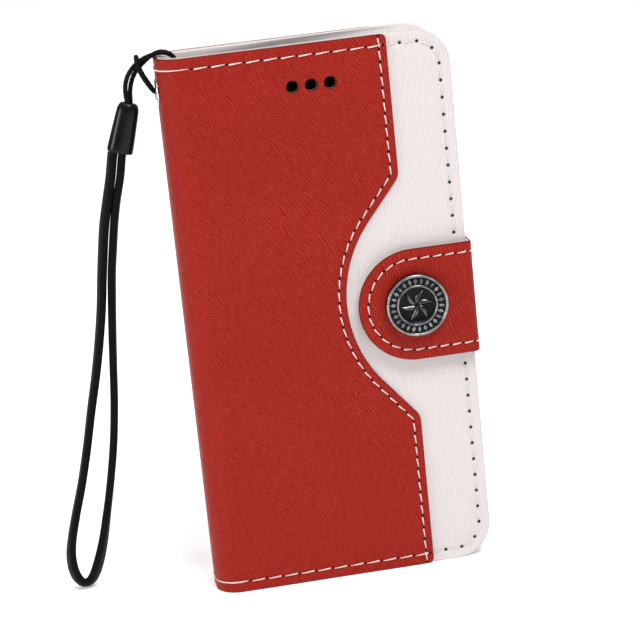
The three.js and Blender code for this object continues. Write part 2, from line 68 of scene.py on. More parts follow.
RED_FRONT_LOW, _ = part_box("front_red_leather")
SPINE_LOW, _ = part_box("spine_red_leather")
_, WHITE_BACK_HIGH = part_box("back_white_leather")
_, RED_BACK_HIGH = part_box("back_red_leather")
STRAP_LOW, STRAP_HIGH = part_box("strap_tab_leather")
EYELET_LOW, EYELET_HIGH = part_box("lanyard_eyelet")
BUTTON_LOW, BUTTON_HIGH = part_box("button_cap")
CASE_ORIGIN = np.array([SPINE_LOW.x, RED_FRONT_LOW.y, 0.0])


def to_frame(points: np.ndarray) -> np.ndarray:
    """Takes points from case coordinates in millimetres to the frame in metres.

    Args:
        points: One point or rows of points, in millimetres.

    Returns:
        The same points in metres in the shared frame.
    """
    return np.asarray(points, float) * MM + CASE_ORIGIN


def to_case(point: Vector) -> np.ndarray:
    """Returns a point of the frame, in metres, in case coordinates in millimetres."""
    return (np.array(point) - CASE_ORIGIN) / MM


@dataclass(frozen=True)
class CaseSize:
    """The closed case's outer sizes in millimetres."""

    width: float
    height: float
    thickness: float
    spine_radius: float = 6.5
    corner: float = 9.5

    @property
    def flat(self) -> float:
        """The flat half of the spine, between its middle and the start of its round."""
        return self.thickness / 2 - self.spine_radius

    @property
    def arc(self) -> float:
        """The length of the quarter round between the spine and a cover."""
        return self.spine_radius * math.pi / 2

    def along(self, x: float) -> float:
        """Returns how far a place at x on a cover is from the middle of the spine, over the leather."""
        return x + self.flat + self.arc - self.spine_radius


CASE = CaseSize(
    width=to_case(WHITE_BACK_HIGH)[0],
    height=to_case(WHITE_BACK_HIGH)[2],
    thickness=to_case(RED_BACK_HIGH)[1],
)
EYELET_HEIGHT = (to_case(EYELET_LOW)[2] + to_case(EYELET_HIGH)[2]) / 2
BUTTON_CENTRE = (to_case(BUTTON_LOW) + to_case(BUTTON_HIGH)) / 2
BUTTON_RADIUS = (to_case(BUTTON_HIGH)[0] - to_case(BUTTON_LOW)[0]) / 2
BUTTON_BACK = to_case(BUTTON_HIGH)[1]


class Side(Enum):
    """The two covers that the sheets wrap round the spine."""

    FRONT = "front"
    BACK = "back"


@dataclass(frozen=True)
class Depths:
    """How far a layer's two faces lie below the outer face of the closed case, in millimetres."""

    outer: float
    inner: float


RED_DEPTHS = Depths(0.0, 0.7)
WHITE_DEPTHS = Depths(0.75, 1.4)
LINING_DEPTHS = Depths(2.5, 3.1)
SHEET_GAP = 0.05

# ---- Outlines ----

Line = np.ndarray


def arc_line(centre: tuple[float, float], radius: float, start: float, end: float, step: float = 0.5) -> Line:
    """Draws a round stretch of an outline.

    Args:
        centre: The middle of the round.
        radius: Its radius.
        start: The first angle in degrees.
        end: The last angle in degrees.
        step: The distance between points.

    Returns:
        The points, first and last included.
    """
    span = math.radians(end - start)
    count = max(3, math.ceil(abs(span) * radius / step))
    angles = math.radians(start) + span * np.arange(count + 1) / count
    return np.stack([centre[0] + radius * np.cos(angles), centre[1] + radius * np.sin(angles)], axis=1)


def join_lines(*parts: Sequence) -> Line:
    """Returns the parts of an outline, each a point or a line, as one line."""
    return np.vstack([np.atleast_2d(np.asarray(part, float)) for part in parts])


def drawn_finer(line: Line, step: float) -> Line:
    """Adds points to the long stretches of a closed line.

    Args:
        line: The line's points.
        step: The longest stretch that is left.

    Returns:
        The line with all its old points and the new ones.
    """
    rows = []
    for start, end in zip(line, np.roll(line, -1, axis=0)):
        distance = float(np.linalg.norm(end - start))
        if distance < 1e-6:
            continue
        count = max(1, math.ceil(distance / step))
        rows.extend(start + (end - start) * i / count for i in range(count))
    return np.array(rows)


def distance_to(points: np.ndarray, starts: np.ndarray, ends: np.ndarray) -> np.ndarray:
    """Measures how far points are from a set of straight stretches.

    Args:
        points: Rows of points.
        starts: The first point of each stretch.
        ends: The last point of each stretch.

    Returns:
        The distance from each point to the nearest stretch.
    """
    best = np.full(len(points), np.inf)
    for start, end in zip(starts, ends):
        run = end - start
        share = np.clip(((points - start) @ run) / max(float(run @ run), 1e-12), 0, 1)
        gap = points - start - share[:, None] * run
        best = np.minimum(best, np.einsum("ij,ij->i", gap, gap))
    return np.sqrt(best)


def is_inside(points: np.ndarray, line: Line) -> np.ndarray:
    """Returns which of the points lie inside a closed outline."""
    inside = np.zeros(len(points), bool)
    for (x0, z0), (x1, z1) in zip(line, np.roll(line, -1, axis=0)):
        if abs(z1 - z0) < 1e-12:
            continue
        crosses = (points[:, 1] < z0) != (points[:, 1] < z1)
        at = x0 + (points[:, 1] - z0) / (z1 - z0) * (x1 - x0)
        inside ^= crosses & (points[:, 0] < at)
    return inside


def left_of(runs: np.ndarray) -> np.ndarray:
    """Returns the unit vectors that point to the left of some directions on a sheet."""
    left = np.stack([-runs[:, 1], runs[:, 0]], axis=1)
    return left / np.maximum(np.linalg.norm(left, axis=1), 1e-9)[:, None]


def tree_of(points: np.ndarray) -> KDTree:
    """Returns the search tree of some flat points."""
    tree = KDTree(len(points))
    for i, (s, z) in enumerate(points):
        tree.insert((s, z, 0), i)
    tree.balance()
    return tree


def eased(share: np.ndarray | float) -> np.ndarray | float:
    """Returns a share from 0 to 1 with a soft start and a soft end."""
    return share * share * (3 - 2 * share)


def line_lengths(line: Line) -> np.ndarray:
    """Returns the distance from a line's start to each of its points."""
    return np.concatenate([[0.0], np.cumsum(np.linalg.norm(np.diff(line, axis=0), axis=1))])


def walk(line: Line, at: np.ndarray) -> np.ndarray:
    """Returns the points that lie the given distances along a line."""
    lengths = line_lengths(line)
    return np.stack([np.interp(at, lengths, line[:, axis]) for axis in range(line.shape[1])], axis=1)


@dataclass(frozen=True)
class Wave:
    """The wavy free edge of the red leather: two straights and a hollow arc, joined by slopes."""

    straight: float = 58.7
    arc_x: float = 76.0
    arc_z: float = 74.3
    arc_radius: float = 34.0
    slope: float = 39.4
    fillet: float = 4.0
    top_radius: float = 1.5

    def line(self, inset: float = 0.0, corners: bool = False) -> Line:
        """Draws the edge, or a line beside it, from the bottom to the top.

        Args:
            inset: How far inside the edge the line runs.
            corners: Whether the ends have the leather's rounded corners.

        Returns:
            The line, with x measured over the leather from the middle of the spine.
        """
        slope = math.radians(self.slope)
        straight = CASE.along(self.straight - inset)
        arc_s = CASE.along(self.arc_x)
        radius = self.arc_radius + inset
        fillet = self.fillet - inset
        run = straight - (arc_s - radius * math.cos(slope))
        bend = radius * math.sin(slope) + run / math.tan(slope)
        half = bend + fillet * math.tan(slope / 2)
        low = arc_line((straight - fillet, self.arc_z - half), fillet, 0, self.slope)
        middle = arc_line((arc_s, self.arc_z), radius, 180 + self.slope, 180 - self.slope, 0.8)
        high = arc_line((straight - fillet, self.arc_z + half), fillet, -self.slope, 0)
        if not corners:
            return join_lines((straight, 0), low, middle, high, (straight, CASE.height))
        corner = self.top_radius
        bottom = arc_line((straight - corner, corner), corner, -90, 0, 0.3)
        top = arc_line((straight - corner, CASE.height - corner), corner, 0, 90, 0.3)
        return join_lines(bottom, low, middle, high, top)


WAVE = Wave()
EYELET_NOTCH = 2.2


def spine_notch() -> Line:
    """Returns the half round that each half of the wrap leaves free for the eyelet."""
    return arc_line((0, EYELET_HEIGHT), EYELET_NOTCH, 90, -90, 0.4)


def red_outline() -> Line:
    """Returns the outline of half the red wrap, from the middle of the spine to the wavy edge."""
    return join_lines((0, 0), WAVE.line(corners=True), (0, CASE.height), spine_notch())


def cover_edge(inset: float = 0.0) -> Line:
    """Returns a cover's edge from the middle of the spine, round both corners and back, drawn in by inset."""
    right = CASE.along(CASE.width) - inset
    radius = CASE.corner - inset
    bottom = arc_line((right - radius, inset + radius), radius, -90, 0)
    top = arc_line((right - radius, CASE.height - inset - radius), radius, 0, 90)
    return join_lines((0, inset), bottom, top, (0, CASE.height - inset))


def cover_outline() -> Line:
    """Returns the outline of half a plain wrap, with the half round for the eyelet."""
    return join_lines(cover_edge(), spine_notch())


# ---- Seams ----


@dataclass(frozen=True)
class Seam:
    """A row of stitches on a flat sheet: its line and the places of its needle holes."""

    line: Line
    stations: np.ndarray
    open_ends: bool = False
    opens: tuple[bool, bool] = (True, True)

    @property
    def holes(self) -> np.ndarray:
        """The needle holes, without the ends of a seam that runs on into another piece."""
        at = self.stations[1:-1] if self.open_ends else self.stations
        return walk(self.line, at)

    def parted(self, is_first: Callable[[np.ndarray], bool]) -> tuple[list["Seam"], list["Seam"]]:
        """Parts the stitches in two kinds by the place of their middles.

        Args:
            is_first: Tells whether a stitch with its middle at a point is of the first kind.

        Returns:
            The one-stitch seams of the first kind and of the second.
        """
        kinds: tuple[list[Seam], list[Seam]] = ([], [])
        last = len(self.stations) - 2
        for i, (start, end) in enumerate(zip(self.stations, self.stations[1:])):
            middle = walk(self.line, np.array([(start + end) / 2]))[0]
            opens = (self.open_ends and i == 0, self.open_ends and i == last)
            seam = Seam(self.line, np.array([start, end]), self.open_ends and (i in (0, last)), opens)
            kinds[0 if is_first(middle) else 1].append(seam)
        return kinds


def even_seam(line: Line, pitch: float, margin: float = 1.2) -> Seam:
    """Sets the needle holes of a seam at an even pitch.

    Args:
        line: The seam's line.
        pitch: About how far apart the holes are.
        margin: How far the first and last hole keep from the line's ends.

    Returns:
        The seam.
    """
    length = float(line_lengths(line)[-1])
    count = round((length - 2 * margin) / pitch)
    return Seam(line, np.linspace(margin, length - margin, count + 1))


PERIMETER_INSET = 2.9
PERIMETER_PITCH = 4.45
SPINE_STITCH = 14.2
WAVE_SEAM_INSET = 2.0
FINE_PITCH = 3.3


def perimeter_seam() -> Seam:
    """Returns the seam round a cover, with one long stitch at each end that crosses the spine."""
    line = cover_edge(PERIMETER_INSET)
    length = float(line_lengths(line)[-1])
    start = SPINE_STITCH
    count = round((length - 2 * start) / PERIMETER_PITCH)
    middle = np.linspace(start, length - start, count + 1)
    return Seam(line, np.concatenate([[0.0], middle, [length]]), open_ends=True)


# ---- Ways that a flat sheet lies on the object ----


@dataclass(frozen=True)
class Wrap:
    """The way round half the spine and over one cover."""

    side: Side

    def points(self, s: np.ndarray, z: np.ndarray, depth: np.ndarray) -> np.ndarray:
        """Places points of a flat sheet.

        Args:
            s: Distances from the middle of the spine over the outer face.
            z: Heights.
            depth: Depths below the outer face.

        Returns:
            Rows of points in case coordinates.
        """
        radius = CASE.spine_radius
        angle = np.clip((s - CASE.flat) / radius, 0, math.pi / 2)
        x = radius - (radius - depth) * np.cos(angle) + np.maximum(0, s - CASE.flat - CASE.arc)
        y = radius - (radius - depth) * np.sin(angle) + np.maximum(0, CASE.flat - s)
        if self.side is Side.BACK:
            y = CASE.thickness - y
        return np.stack([x, y, z], axis=1)

    @property
    def flat_sign(self) -> float:
        """The sign that keeps the two halves' flat coordinates in one piece over the spine."""
        return 1.0 if self.side is Side.FRONT else -1.0


@dataclass(frozen=True)
class StrapWay:
    """The way of the clasp strap: over the front, round the open side and in under the back leather."""

    end: float
    front: float
    side: float
    back: float
    corner: float = 1.9
    root_corner: float = 0.8

    @property
    def lengths(self) -> tuple[float, float, float, float]:
        """The distances from the strap's end to the end of each straight and round."""
        front = self.side - self.corner - self.end
        corner = front + self.corner * math.pi / 2
        side = corner + (self.back - self.root_corner) - (self.front + self.corner)
        return front, corner, side, side + self.root_corner * math.pi / 2

    @property
    def parting(self) -> float:
        """Where the strap's two pieces meet, halfway over the open side."""
        return (self.lengths[1] + self.lengths[2]) / 2

    def points(self, s: np.ndarray, z: np.ndarray, depth: np.ndarray) -> np.ndarray:
        """Places points of the flat strap.

        Args:
            s: Distances from the strap's round end over its outer face.
            z: Heights.
            depth: Depths below the outer face.

        Returns:
            Rows of points in case coordinates.
        """
        front, corner, side, root = self.lengths
        first = np.clip((s - front) / self.corner, 0, math.pi / 2)
        second = np.clip((s - side) / self.root_corner, 0, math.pi / 2)
        x = self.side - self.corner + (self.corner - depth) * np.sin(first) + np.minimum(0, s - front)
        y = self.front + self.corner - (self.corner - depth) * np.cos(first)
        y = y + np.clip(s - corner, 0, side - corner)
        x = x - self.root_corner * (1 - np.cos(second)) + depth * (1 - np.cos(second))
        y = y + (self.root_corner - depth) * np.sin(second)
        x = x - np.maximum(0, s - root)
        return np.stack([x, y, z], axis=1)

    @property
    def flat_sign(self) -> float:
        """The strap's flat coordinates run on in one direction."""
        return 1.0


@dataclass(frozen=True)
class Plane:
    """A flat face inside the front cover, seen from behind it."""

    y: float

    def points(self, s: np.ndarray, z: np.ndarray, depth: np.ndarray) -> np.ndarray:
        """Returns points at x = s and height z, depth in front of the face, in case coordinates."""
        return np.stack([s, self.y - np.broadcast_to(depth, s.shape), z], axis=1)

    @property
    def flat_sign(self) -> float:
        """The flat coordinates run with x."""
        return 1.0


# ---- Flat sheets with a real edge, grooves and needle holes ----

DepthRule = Callable[[np.ndarray, np.ndarray], np.ndarray]


class Face(Enum):
    """The face of a sheet that is seen and has the relief."""

    OUTER = "outer"
    INNER = "inner"


def sag(s: np.ndarray, z: np.ndarray) -> np.ndarray:
    """Returns the slow unevenness that all layers of the case share, as a depth in millimetres."""
    slow = 0.07 * np.sin(s / 13 + z / 19) + 0.05 * np.sin(s / 8.5 - z / 24 + 1.3)
    slow = slow + 0.03 * np.sin(s / 5.2 + z / 9.5 + 0.4)
    right = CASE.along(CASE.width)
    return slow * np.clip((s - 2) / 10, 0, 1) * np.clip((right - s) / 12, 0, 1)


def level(depth: float) -> DepthRule:
    """Returns the rule of a face that keeps one depth apart from the shared sag."""
    return lambda s, z: depth + sag(s, z)


@dataclass
class Sheet:
    """A piece of leather or lining: its flat cut, the way it lies and the relief of its outer face."""

    name: str
    outline: Line
    way: Wrap | StrapWay
    outer: DepthRule
    inner: DepthRule
    seams: list[Seam] = field(default_factory=list)
    windows: list[Line] = field(default_factory=list)
    open_at: float | None = None
    seen: Face = Face.OUTER
    roll: float = 0.34
    groove: float = 0.13
    needle_depth: float = 0.38
    needle_radius: float = 0.34
    grid: float = 1.4

    SEAM_OFFSETS = (0.0, -0.45, 0.45, -0.95, 0.95)
    RINGS = (0.07, 0.18, 0.34, 0.7, 1.2)

    def _free_stretches(self, loops: list[Line]) -> tuple[np.ndarray, np.ndarray]:
        """Returns the starts and ends of the stretches of the edge that aren't joined to another piece."""
        starts = np.vstack(loops)
        ends = np.vstack([np.roll(loop, -1, axis=0) for loop in loops])
        if self.open_at is None:
            return starts, ends
        joined = (abs(starts[:, 0] - self.open_at) < 1e-6) & (abs(ends[:, 0] - self.open_at) < 1e-6)
        return starts[~joined], ends[~joined]

    def _candidates(self, loops: list[Line]) -> list[tuple[float, np.ndarray]]:
        """Lists the sets of inner points, each with the least distance that it keeps from earlier ones."""
        sets = []
        holes = self._holes()
        if len(holes):
            turns = np.linspace(0, 2 * math.pi, 7)[:-1]
            circle = np.stack([np.cos(turns), np.sin(turns)], axis=1)
            near = [holes] + [
                (holes[:, None] + circle[None] * radius).reshape(-1, 2) for radius in (0.22, 0.42)
            ]
            sets.append((0.05, np.vstack(near)))
        for loop in loops:
            before, after = np.roll(loop, 1, axis=0), np.roll(loop, -1, axis=0)
            inwards = left_of(after - before)
            sets.extend((0.05, loop + inwards * ring) for ring in self.RINGS)
        for seam in self.seams:
            length = float(line_lengths(seam.line)[-1])
            at = np.arange(0, length, 0.8)
            middle = walk(seam.line, at)
            ahead = walk(seam.line, np.minimum(at + 0.1, length)) - walk(seam.line, np.maximum(at - 0.1, 0))
            across = left_of(ahead)
            sets.append((0.24, np.vstack([middle + across * offset for offset in self.SEAM_OFFSETS])))
        low, high = self.outline.min(0), self.outline.max(0)
        s, z = np.meshgrid(
            np.arange(low[0] + self.grid / 2, high[0], self.grid),
            np.arange(low[1] + self.grid / 2, high[1], self.grid),
        )
        sets.append((0.62 * self.grid, np.stack([s.ravel(), z.ravel()], axis=1)))
        return sets

    def _holes(self) -> np.ndarray:
        """Returns the needle holes that lie on the sheet."""
        if not self.seams:
            return np.zeros((0, 2))
        holes = np.vstack([seam.holes for seam in self.seams])
        return holes[is_inside(holes, self.outline)]

    def _kept(self, points: np.ndarray) -> np.ndarray:
        """Returns which points lie on the sheet, inside its outline and outside its windows."""
        inside = is_inside(points, self.outline)
        for hole in self.windows:
            inside &= ~is_inside(points, hole)
        return inside

    def _flat_mesh(self) -> tuple[np.ndarray, np.ndarray, list[Line]]:
        """Returns the flat sheet's points, its triangles and its edge loops."""
        loops = [drawn_finer(self.outline, 0.8)] + [drawn_finer(hole, 0.5) for hole in self.windows]
        points = np.vstack(loops)
        edges, first = [], 0
        for loop in loops:
            edges += [(first + i, first + (i + 1) % len(loop)) for i in range(len(loop))]
            first += len(loop)
        all_starts = points
        all_ends = np.vstack([np.roll(loop, -1, axis=0) for loop in loops])
        for keep_off, candidates in self._candidates(loops):
            candidates = candidates[self._kept(candidates)]
            candidates = candidates[distance_to(candidates, all_starts, all_ends) > 0.055]
            tree = tree_of(points)
            free = [tree.find((s, z, 0))[2] > keep_off for s, z in candidates]
            points = np.vstack([points, candidates[np.array(free, bool)]])
        flat = [Vector((s, z)) for s, z in points]
        found, _, faces, *_ = delaunay_2d_cdt(flat, edges, [], 0, 1e-5)
        points = np.array([tuple(p) for p in found])
        faces = np.array([tuple(f) for f in faces])
        return points, faces[self._kept(points[faces].mean(axis=1))], loops

    def build(self) -> bpy.types.Object:
        """Makes the sheet as a closed mesh with its flat coordinates as a UV map.

        Returns:
            The new object.
        """
        points, faces, loops = self._flat_mesh()
        s, z = points[:, 0], points[:, 1]
        edge = distance_to(points, *self._free_stretches(loops))
        outer, inner = self.outer(s, z), self.inner(s, z)
        relief = self.roll * (1 - np.sqrt(1 - np.clip(1 - edge / self.roll, 0, 1) ** 2))
        holes = self._holes()
        needle = np.zeros(len(points))
        for seam in self.seams:
            away = distance_to(points, seam.line[:-1], seam.line[1:])
            relief = relief + self.groove * np.exp(-((away / 0.55) ** 2))
        if len(holes):
            tree = tree_of(holes)
            away = np.array([tree.find((a, b, 0))[2] for a, b in points])
            needle = np.exp(-((away / self.needle_radius) ** 2))
            relief = relief + self.needle_depth * needle
        relief = np.minimum(relief, np.maximum(inner - outer - 0.04, 0.01))
        is_outer = self.seen is Face.OUTER
        top = self.way.points(s, z, outer + relief * is_outer)
        bottom = self.way.points(s, z, inner - relief * (not is_outer))
        count = len(points)
        sides = self._rim(faces)
        polygons = [tuple(f) for f in faces] + [tuple(count + i for i in f[::-1]) for f in faces]
        polygons += [(b, a, count + a, count + b) for a, b in sides]
        mesh = bpy.data.meshes.new(self.name)
        mesh.from_pydata(to_frame(np.vstack([top, bottom])).tolist(), [], polygons)
        # The needle attribute marks the needle holes; the leather materials paint shade there.
        self._store(mesh, "needle", np.concatenate([needle * is_outer, needle * (not is_outer)]))
        self._store(mesh, "edge", np.tile(np.exp(-edge / 0.3), 2))
        far = np.concatenate([np.zeros(count), np.ones(count)])
        self._store(mesh, "far_side", far if is_outer else 1 - far)
        flat = np.tile(np.stack([s * self.way.flat_sign, z], axis=1), (2, 1)) / 100
        set_uv(mesh, flat)
        close_up(mesh)
        return added(mesh)

    @staticmethod
    def _rim(faces: np.ndarray) -> list[tuple[int, int]]:
        """Returns the edges that only one triangle has, in the triangle's direction."""
        edges = {(int(f[i]), int(f[(i + 1) % 3])) for f in faces for i in range(3)}
        return [(a, b) for a, b in sorted(edges) if (b, a) not in edges]

    @staticmethod
    def _store(mesh: bpy.types.Mesh, name: str, values: np.ndarray) -> None:
        """Keeps one number for each point of a mesh."""
        attribute = mesh.attributes.new(name, "FLOAT", "POINT")
        attribute.data.foreach_set("value", values.astype(np.float32))


def set_uv(mesh: bpy.types.Mesh, flat: np.ndarray) -> None:
    """Gives a mesh the UV map named flat, from one pair of numbers for each point."""
    corners = np.zeros(len(mesh.loops), np.int32)
    mesh.loops.foreach_get("vertex_index", corners)
    layer = mesh.uv_layers.new(name="flat")
    layer.data.foreach_set("uv", flat[corners].astype(np.float32).ravel())


def added(mesh: bpy.types.Mesh) -> bpy.types.Object:
    """Returns a new object in the scene, with a mesh and the mesh's name."""
    piece = bpy.data.objects.new(mesh.name, mesh)
    bpy.context.scene.collection.objects.link(piece)
    return piece


def close_up(mesh: bpy.types.Mesh, smooth_angle: float = 50.0) -> None:
    """Turns a closed mesh's faces outwards and smooths it, with creases over smooth_angle degrees."""
    work = bmesh.new()
    work.from_mesh(mesh)
    bmesh.ops.recalc_face_normals(work, faces=work.faces)
    limit = math.radians(smooth_angle)
    for edge in work.edges:
        edge.smooth = len(edge.link_faces) < 2 or edge.calc_face_angle(0) < limit
    for face in work.faces:
        face.smooth = True
    work.to_mesh(mesh)
    work.free()


# ---- Stitches ----


@dataclass(frozen=True)
class Thread:
    """Sewing thread: the radii of a stitch's thin and thick end and how it slants and dips."""

    thin: float = 0.12
    thick: float = 0.245
    slant: float = 0.13
    dip: float = 0.32
    gap: float = 0.42
    bed: float = 0.06
    sides: int = 7

    LONG = 5.5
    # Shares of the way along a stitch, with how far it has gone down into the hole.
    STATIONS = ((0.0, 1.0), (0.05, 0.45), (0.16, 0.06), (0.5, 0.0), (0.84, 0.05), (0.95, 0.4), (1.0, 1.0))

    def row(self, name: str, seams: Sequence[tuple], seen: Face = Face.OUTER) -> bpy.types.Object:
        """Makes all the stitches of some seams as one piece.

        Args:
            name: The piece's name.
            seams: Each seam with the way that its sheet lies and the depth of the face it is sewn on.
            seen: The face of the sheet that the stitches lie on.

        Returns:
            The new object.
        """
        points, faces, flat = [], [], []
        outwards = 1 if seen is Face.OUTER else -1
        for seam, way, surface in seams:
            for first, last in zip(seam.stations, seam.stations[1:]):
                open_start = seam.open_ends and seam.opens[0] and first == seam.stations[0]
                open_end = seam.open_ends and seam.opens[1] and last == seam.stations[-1]
                base = sum(len(block) for block in points)
                is_open = (open_start, open_end)
                rings, uvs = self._stitch(seam, way, surface, (first, last), is_open, outwards)
                points += rings
                flat += uvs
                faces += tube_faces(len(rings), self.sides, base)
        mesh = bpy.data.meshes.new(name)
        mesh.from_pydata(to_frame(np.vstack(points)).tolist(), [], faces)
        set_uv(mesh, np.vstack(flat))
        close_up(mesh, 80)
        return added(mesh)

    def _stitch(
        self, seam: Seam, way: "Wrap | StrapWay | Plane", surface: DepthRule, span: tuple[float, float],
        is_open: tuple[bool, bool], outwards: int,
    ) -> tuple[list[np.ndarray], list[np.ndarray]]:
        """Makes the rings of one stitch.

        Args:
            seam: The seam that the stitch is part of.
            way: The way that the sheet lies.
            surface: The depth of the face that the stitch lies on.
            span: Where the stitch's two needle holes are along the seam.
            is_open: Whether each end runs on into the next piece instead of a needle hole.
            outwards: 1 on an outer face and -1 on an inner one.

        Returns:
            The rings of points and their flat coordinates.
        """
        gaps = [0.0 if end_open else self.gap for end_open in is_open]
        length = span[1] - span[0] - sum(gaps)
        shares = self.STATIONS
        if length > self.LONG:
            ends = [(share, down) for share, down in shares if down]
            shares = tuple(sorted(ends + [(share, 0.0) for share in np.linspace(0.2, 0.8, 10)]))
        turns = np.arange(self.sides) * 2 * math.pi / self.sides
        rings, flat = [], []
        for share, down in shares:
            if (is_open[0] and share < 0.5) or (is_open[1] and share > 0.5):
                down = 0.0
            at = span[0] + gaps[0] + length * share
            back, here, ahead = walk(seam.line, np.array([at - 0.05, at, at + 0.05]))
            run = (ahead - back) / max(np.linalg.norm(ahead - back), 1e-9)
            across = np.array([-run[1], run[0]])
            radius = (self.thin + (self.thick - self.thin) * share) * (1 - 0.45 * down)
            centre = here + across * self.slant * (2 * share - 1)
            s = centre[0] + across[0] * radius * np.cos(turns)
            z = centre[1] + across[1] * radius * np.cos(turns)
            middle = float(surface(centre[:1], centre[1:])[0])
            sunk = self.bed - 0.55 * radius + self.dip * down
            rings.append(way.points(s, z, middle + outwards * sunk + radius * np.sin(turns)))
            flat.append(np.stack([np.full(self.sides, at / 100), turns / (2 * math.pi)], axis=1))
        return rings, flat


def tube_faces(rings: int, sides: int, base: int) -> list[tuple[int, ...]]:
    """Returns the faces of a tube with closed ends, whose rings' points follow each other from base on."""
    faces: list[tuple[int, ...]] = [
        (
            base + r * sides + i, base + r * sides + (i + 1) % sides,
            base + (r + 1) * sides + (i + 1) % sides, base + (r + 1) * sides + i,
        )
        for r in range(rings - 1) for i in range(sides)
    ]
    last = base + (rings - 1) * sides
    faces.append(tuple(base + i for i in reversed(range(sides))))
    faces.append(tuple(last + i for i in range(sides)))
    return faces


# ---- Shader maths ----

Colour = tuple[float, float, float]


class Value:
    """A shader socket with arithmetic: an expression on values adds its Math nodes."""

    def __init__(self, shader: "Shader", socket: bpy.types.NodeSocket) -> None:
        """Keeps the socket and the shader that it is part of."""
        self.shader = shader
        self.socket = socket

    def __add__(self, other: "Value | float") -> "Value":
        """Returns the sum."""
        return self.shader.math("ADD", self, other)

    __radd__ = __add__

    def __sub__(self, other: "Value | float") -> "Value":
        """Returns the difference."""
        return self.shader.math("SUBTRACT", self, other)

    def __rsub__(self, other: float) -> "Value":
        """Returns the difference from a number."""
        return self.shader.math("SUBTRACT", other, self)

    def __mul__(self, other: "Value | float") -> "Value":
        """Returns the product."""
        return self.shader.math("MULTIPLY", self, other)

    __rmul__ = __mul__

    def __truediv__(self, other: "Value | float") -> "Value":
        """Returns the quotient."""
        return self.shader.math("DIVIDE", self, other)


class Shader:
    """A material's node tree, with one way to add nodes."""

    def __init__(self, name: str) -> None:
        """Starts an empty material of that name."""
        self.material = bpy.data.materials.new(name)
        self.material.use_nodes = True
        self.tree = self.material.node_tree
        self.tree.nodes.clear()

    def node(
        self, kind: str, settings: dict | None = None, values: dict | None = None, output: int | str = 0,
    ) -> Value:
        """Adds a node.

        Args:
            kind: The node's type.
            settings: Its properties; stops holds a ramp's positions and colours.
            values: Numbers, colours or Values for its sockets, by name or place.
            output: The socket that the expression goes on with.

        Returns:
            The output as a Value.
        """
        node = self.tree.nodes.new(kind)
        for key, value in (settings or {}).items():
            if key == "stops":
                ramp = node.color_ramp
                while len(ramp.elements) < len(value):
                    ramp.elements.new(0.5)
                for element, (place, colour) in zip(ramp.elements, value):
                    element.position = place
                    element.color = (*colour, 1)
            else:
                setattr(node, key, value)
        for key, value in (values or {}).items():
            socket = node.inputs[key]
            if isinstance(value, Value):
                self.tree.links.new(value.socket, socket)
            elif isinstance(value, tuple) and socket.type == "RGBA" and len(value) == 3:
                socket.default_value = (*value, 1)
            else:
                socket.default_value = value
        return Value(self, node.outputs[output])

    def math(self, operation: str, *values: "Value | float") -> Value:
        """Returns the result of a Math node on some values."""
        return self.node("ShaderNodeMath", {"operation": operation}, dict(enumerate(values)))

    def noise(self, vector: Value, scale: float, detail: float = 2.0, rough: float = 0.5) -> Value:
        """Returns a noise from 0 to 1 at the places that vector gives."""
        values = {"Vector": vector, "Scale": scale, "Detail": detail, "Roughness": rough}
        return self.node("ShaderNodeTexNoise", None, values)

    def vector(self, x: "Value | float", y: "Value | float", z: "Value | float" = 0.0) -> Value:
        """Returns a vector made of three values."""
        return self.node("ShaderNodeCombineXYZ", None, {0: x, 1: y, 2: z})

    def mix(self, share: "Value | float", first: "Value | Colour", second: "Value | Colour") -> Value:
        """Returns the colour that lies share of the way from the first to the second."""
        return self.node("ShaderNodeMix", {"data_type": "RGBA"}, {0: share, 6: first, 7: second}, 2)

    def fit(self, value: Value, low: float, high: float, to_low: float = 0.0, to_high: float = 1.0) -> Value:
        """Returns a value stretched from one range to another and kept inside it."""
        values = {0: value, 1: low, 2: high, 3: to_low, 4: to_high}
        return self.node("ShaderNodeMapRange", {"clamp": True}, values)

    def attribute(self, name: str) -> Value:
        """Returns the number that the mesh keeps for each point under that name."""
        return self.node("ShaderNodeAttribute", {"attribute_name": name}, None, "Fac")

    def flat(self) -> tuple[Value, Value]:
        """Returns the two flat coordinates of the piece's UV map, in the map's own unit."""
        place = self.node("ShaderNodeUVMap", {"uv_map": "flat"})
        node = self.node("ShaderNodeSeparateXYZ", None, {0: place}).socket.node
        return Value(self, node.outputs[0]), Value(self, node.outputs[1])

    def place(self) -> Value:
        """Returns the place on the piece, in metres in the frame."""
        return self.node("ShaderNodeTexCoord", None, None, "Object")

    def bump(self, height: Value, depth: float, strength: float = 1.0) -> Value:
        """Returns the normal of a relief that is depth metres deep."""
        values = {"Strength": strength, "Distance": depth, "Height": height}
        return self.node("ShaderNodeBump", None, values)

    def finish(self, **inputs: "Value | Colour | float") -> bpy.types.Material:
        """Ends the material in a Principled shader.

        Args:
            **inputs: The shader's sockets, with _ for each space.

        Returns:
            The material.
        """
        values = {name.replace("_", " "): value for name, value in inputs.items()}
        surface = self.node("ShaderNodeBsdfPrincipled", None, values)
        self.node_output(surface)
        return self.material

    def node_output(self, surface: Value) -> None:
        """Joins a shader to the material's output."""
        output = self.tree.nodes.new("ShaderNodeOutputMaterial")
        self.tree.links.new(surface.socket, output.inputs["Surface"])


# ---- Finishes ----


class Finish:
    """What all finishes share: each makes its material once."""

    name: str
    _made: dict[str, bpy.types.Material] = {}

    def material(self) -> bpy.types.Material:
        """Returns the finish's material, which is made the first time."""
        if self.name not in self._made:
            self._made[self.name] = self.make()
        return self._made[self.name]

    def make(self) -> bpy.types.Material:
        """Makes the material."""
        raise NotImplementedError


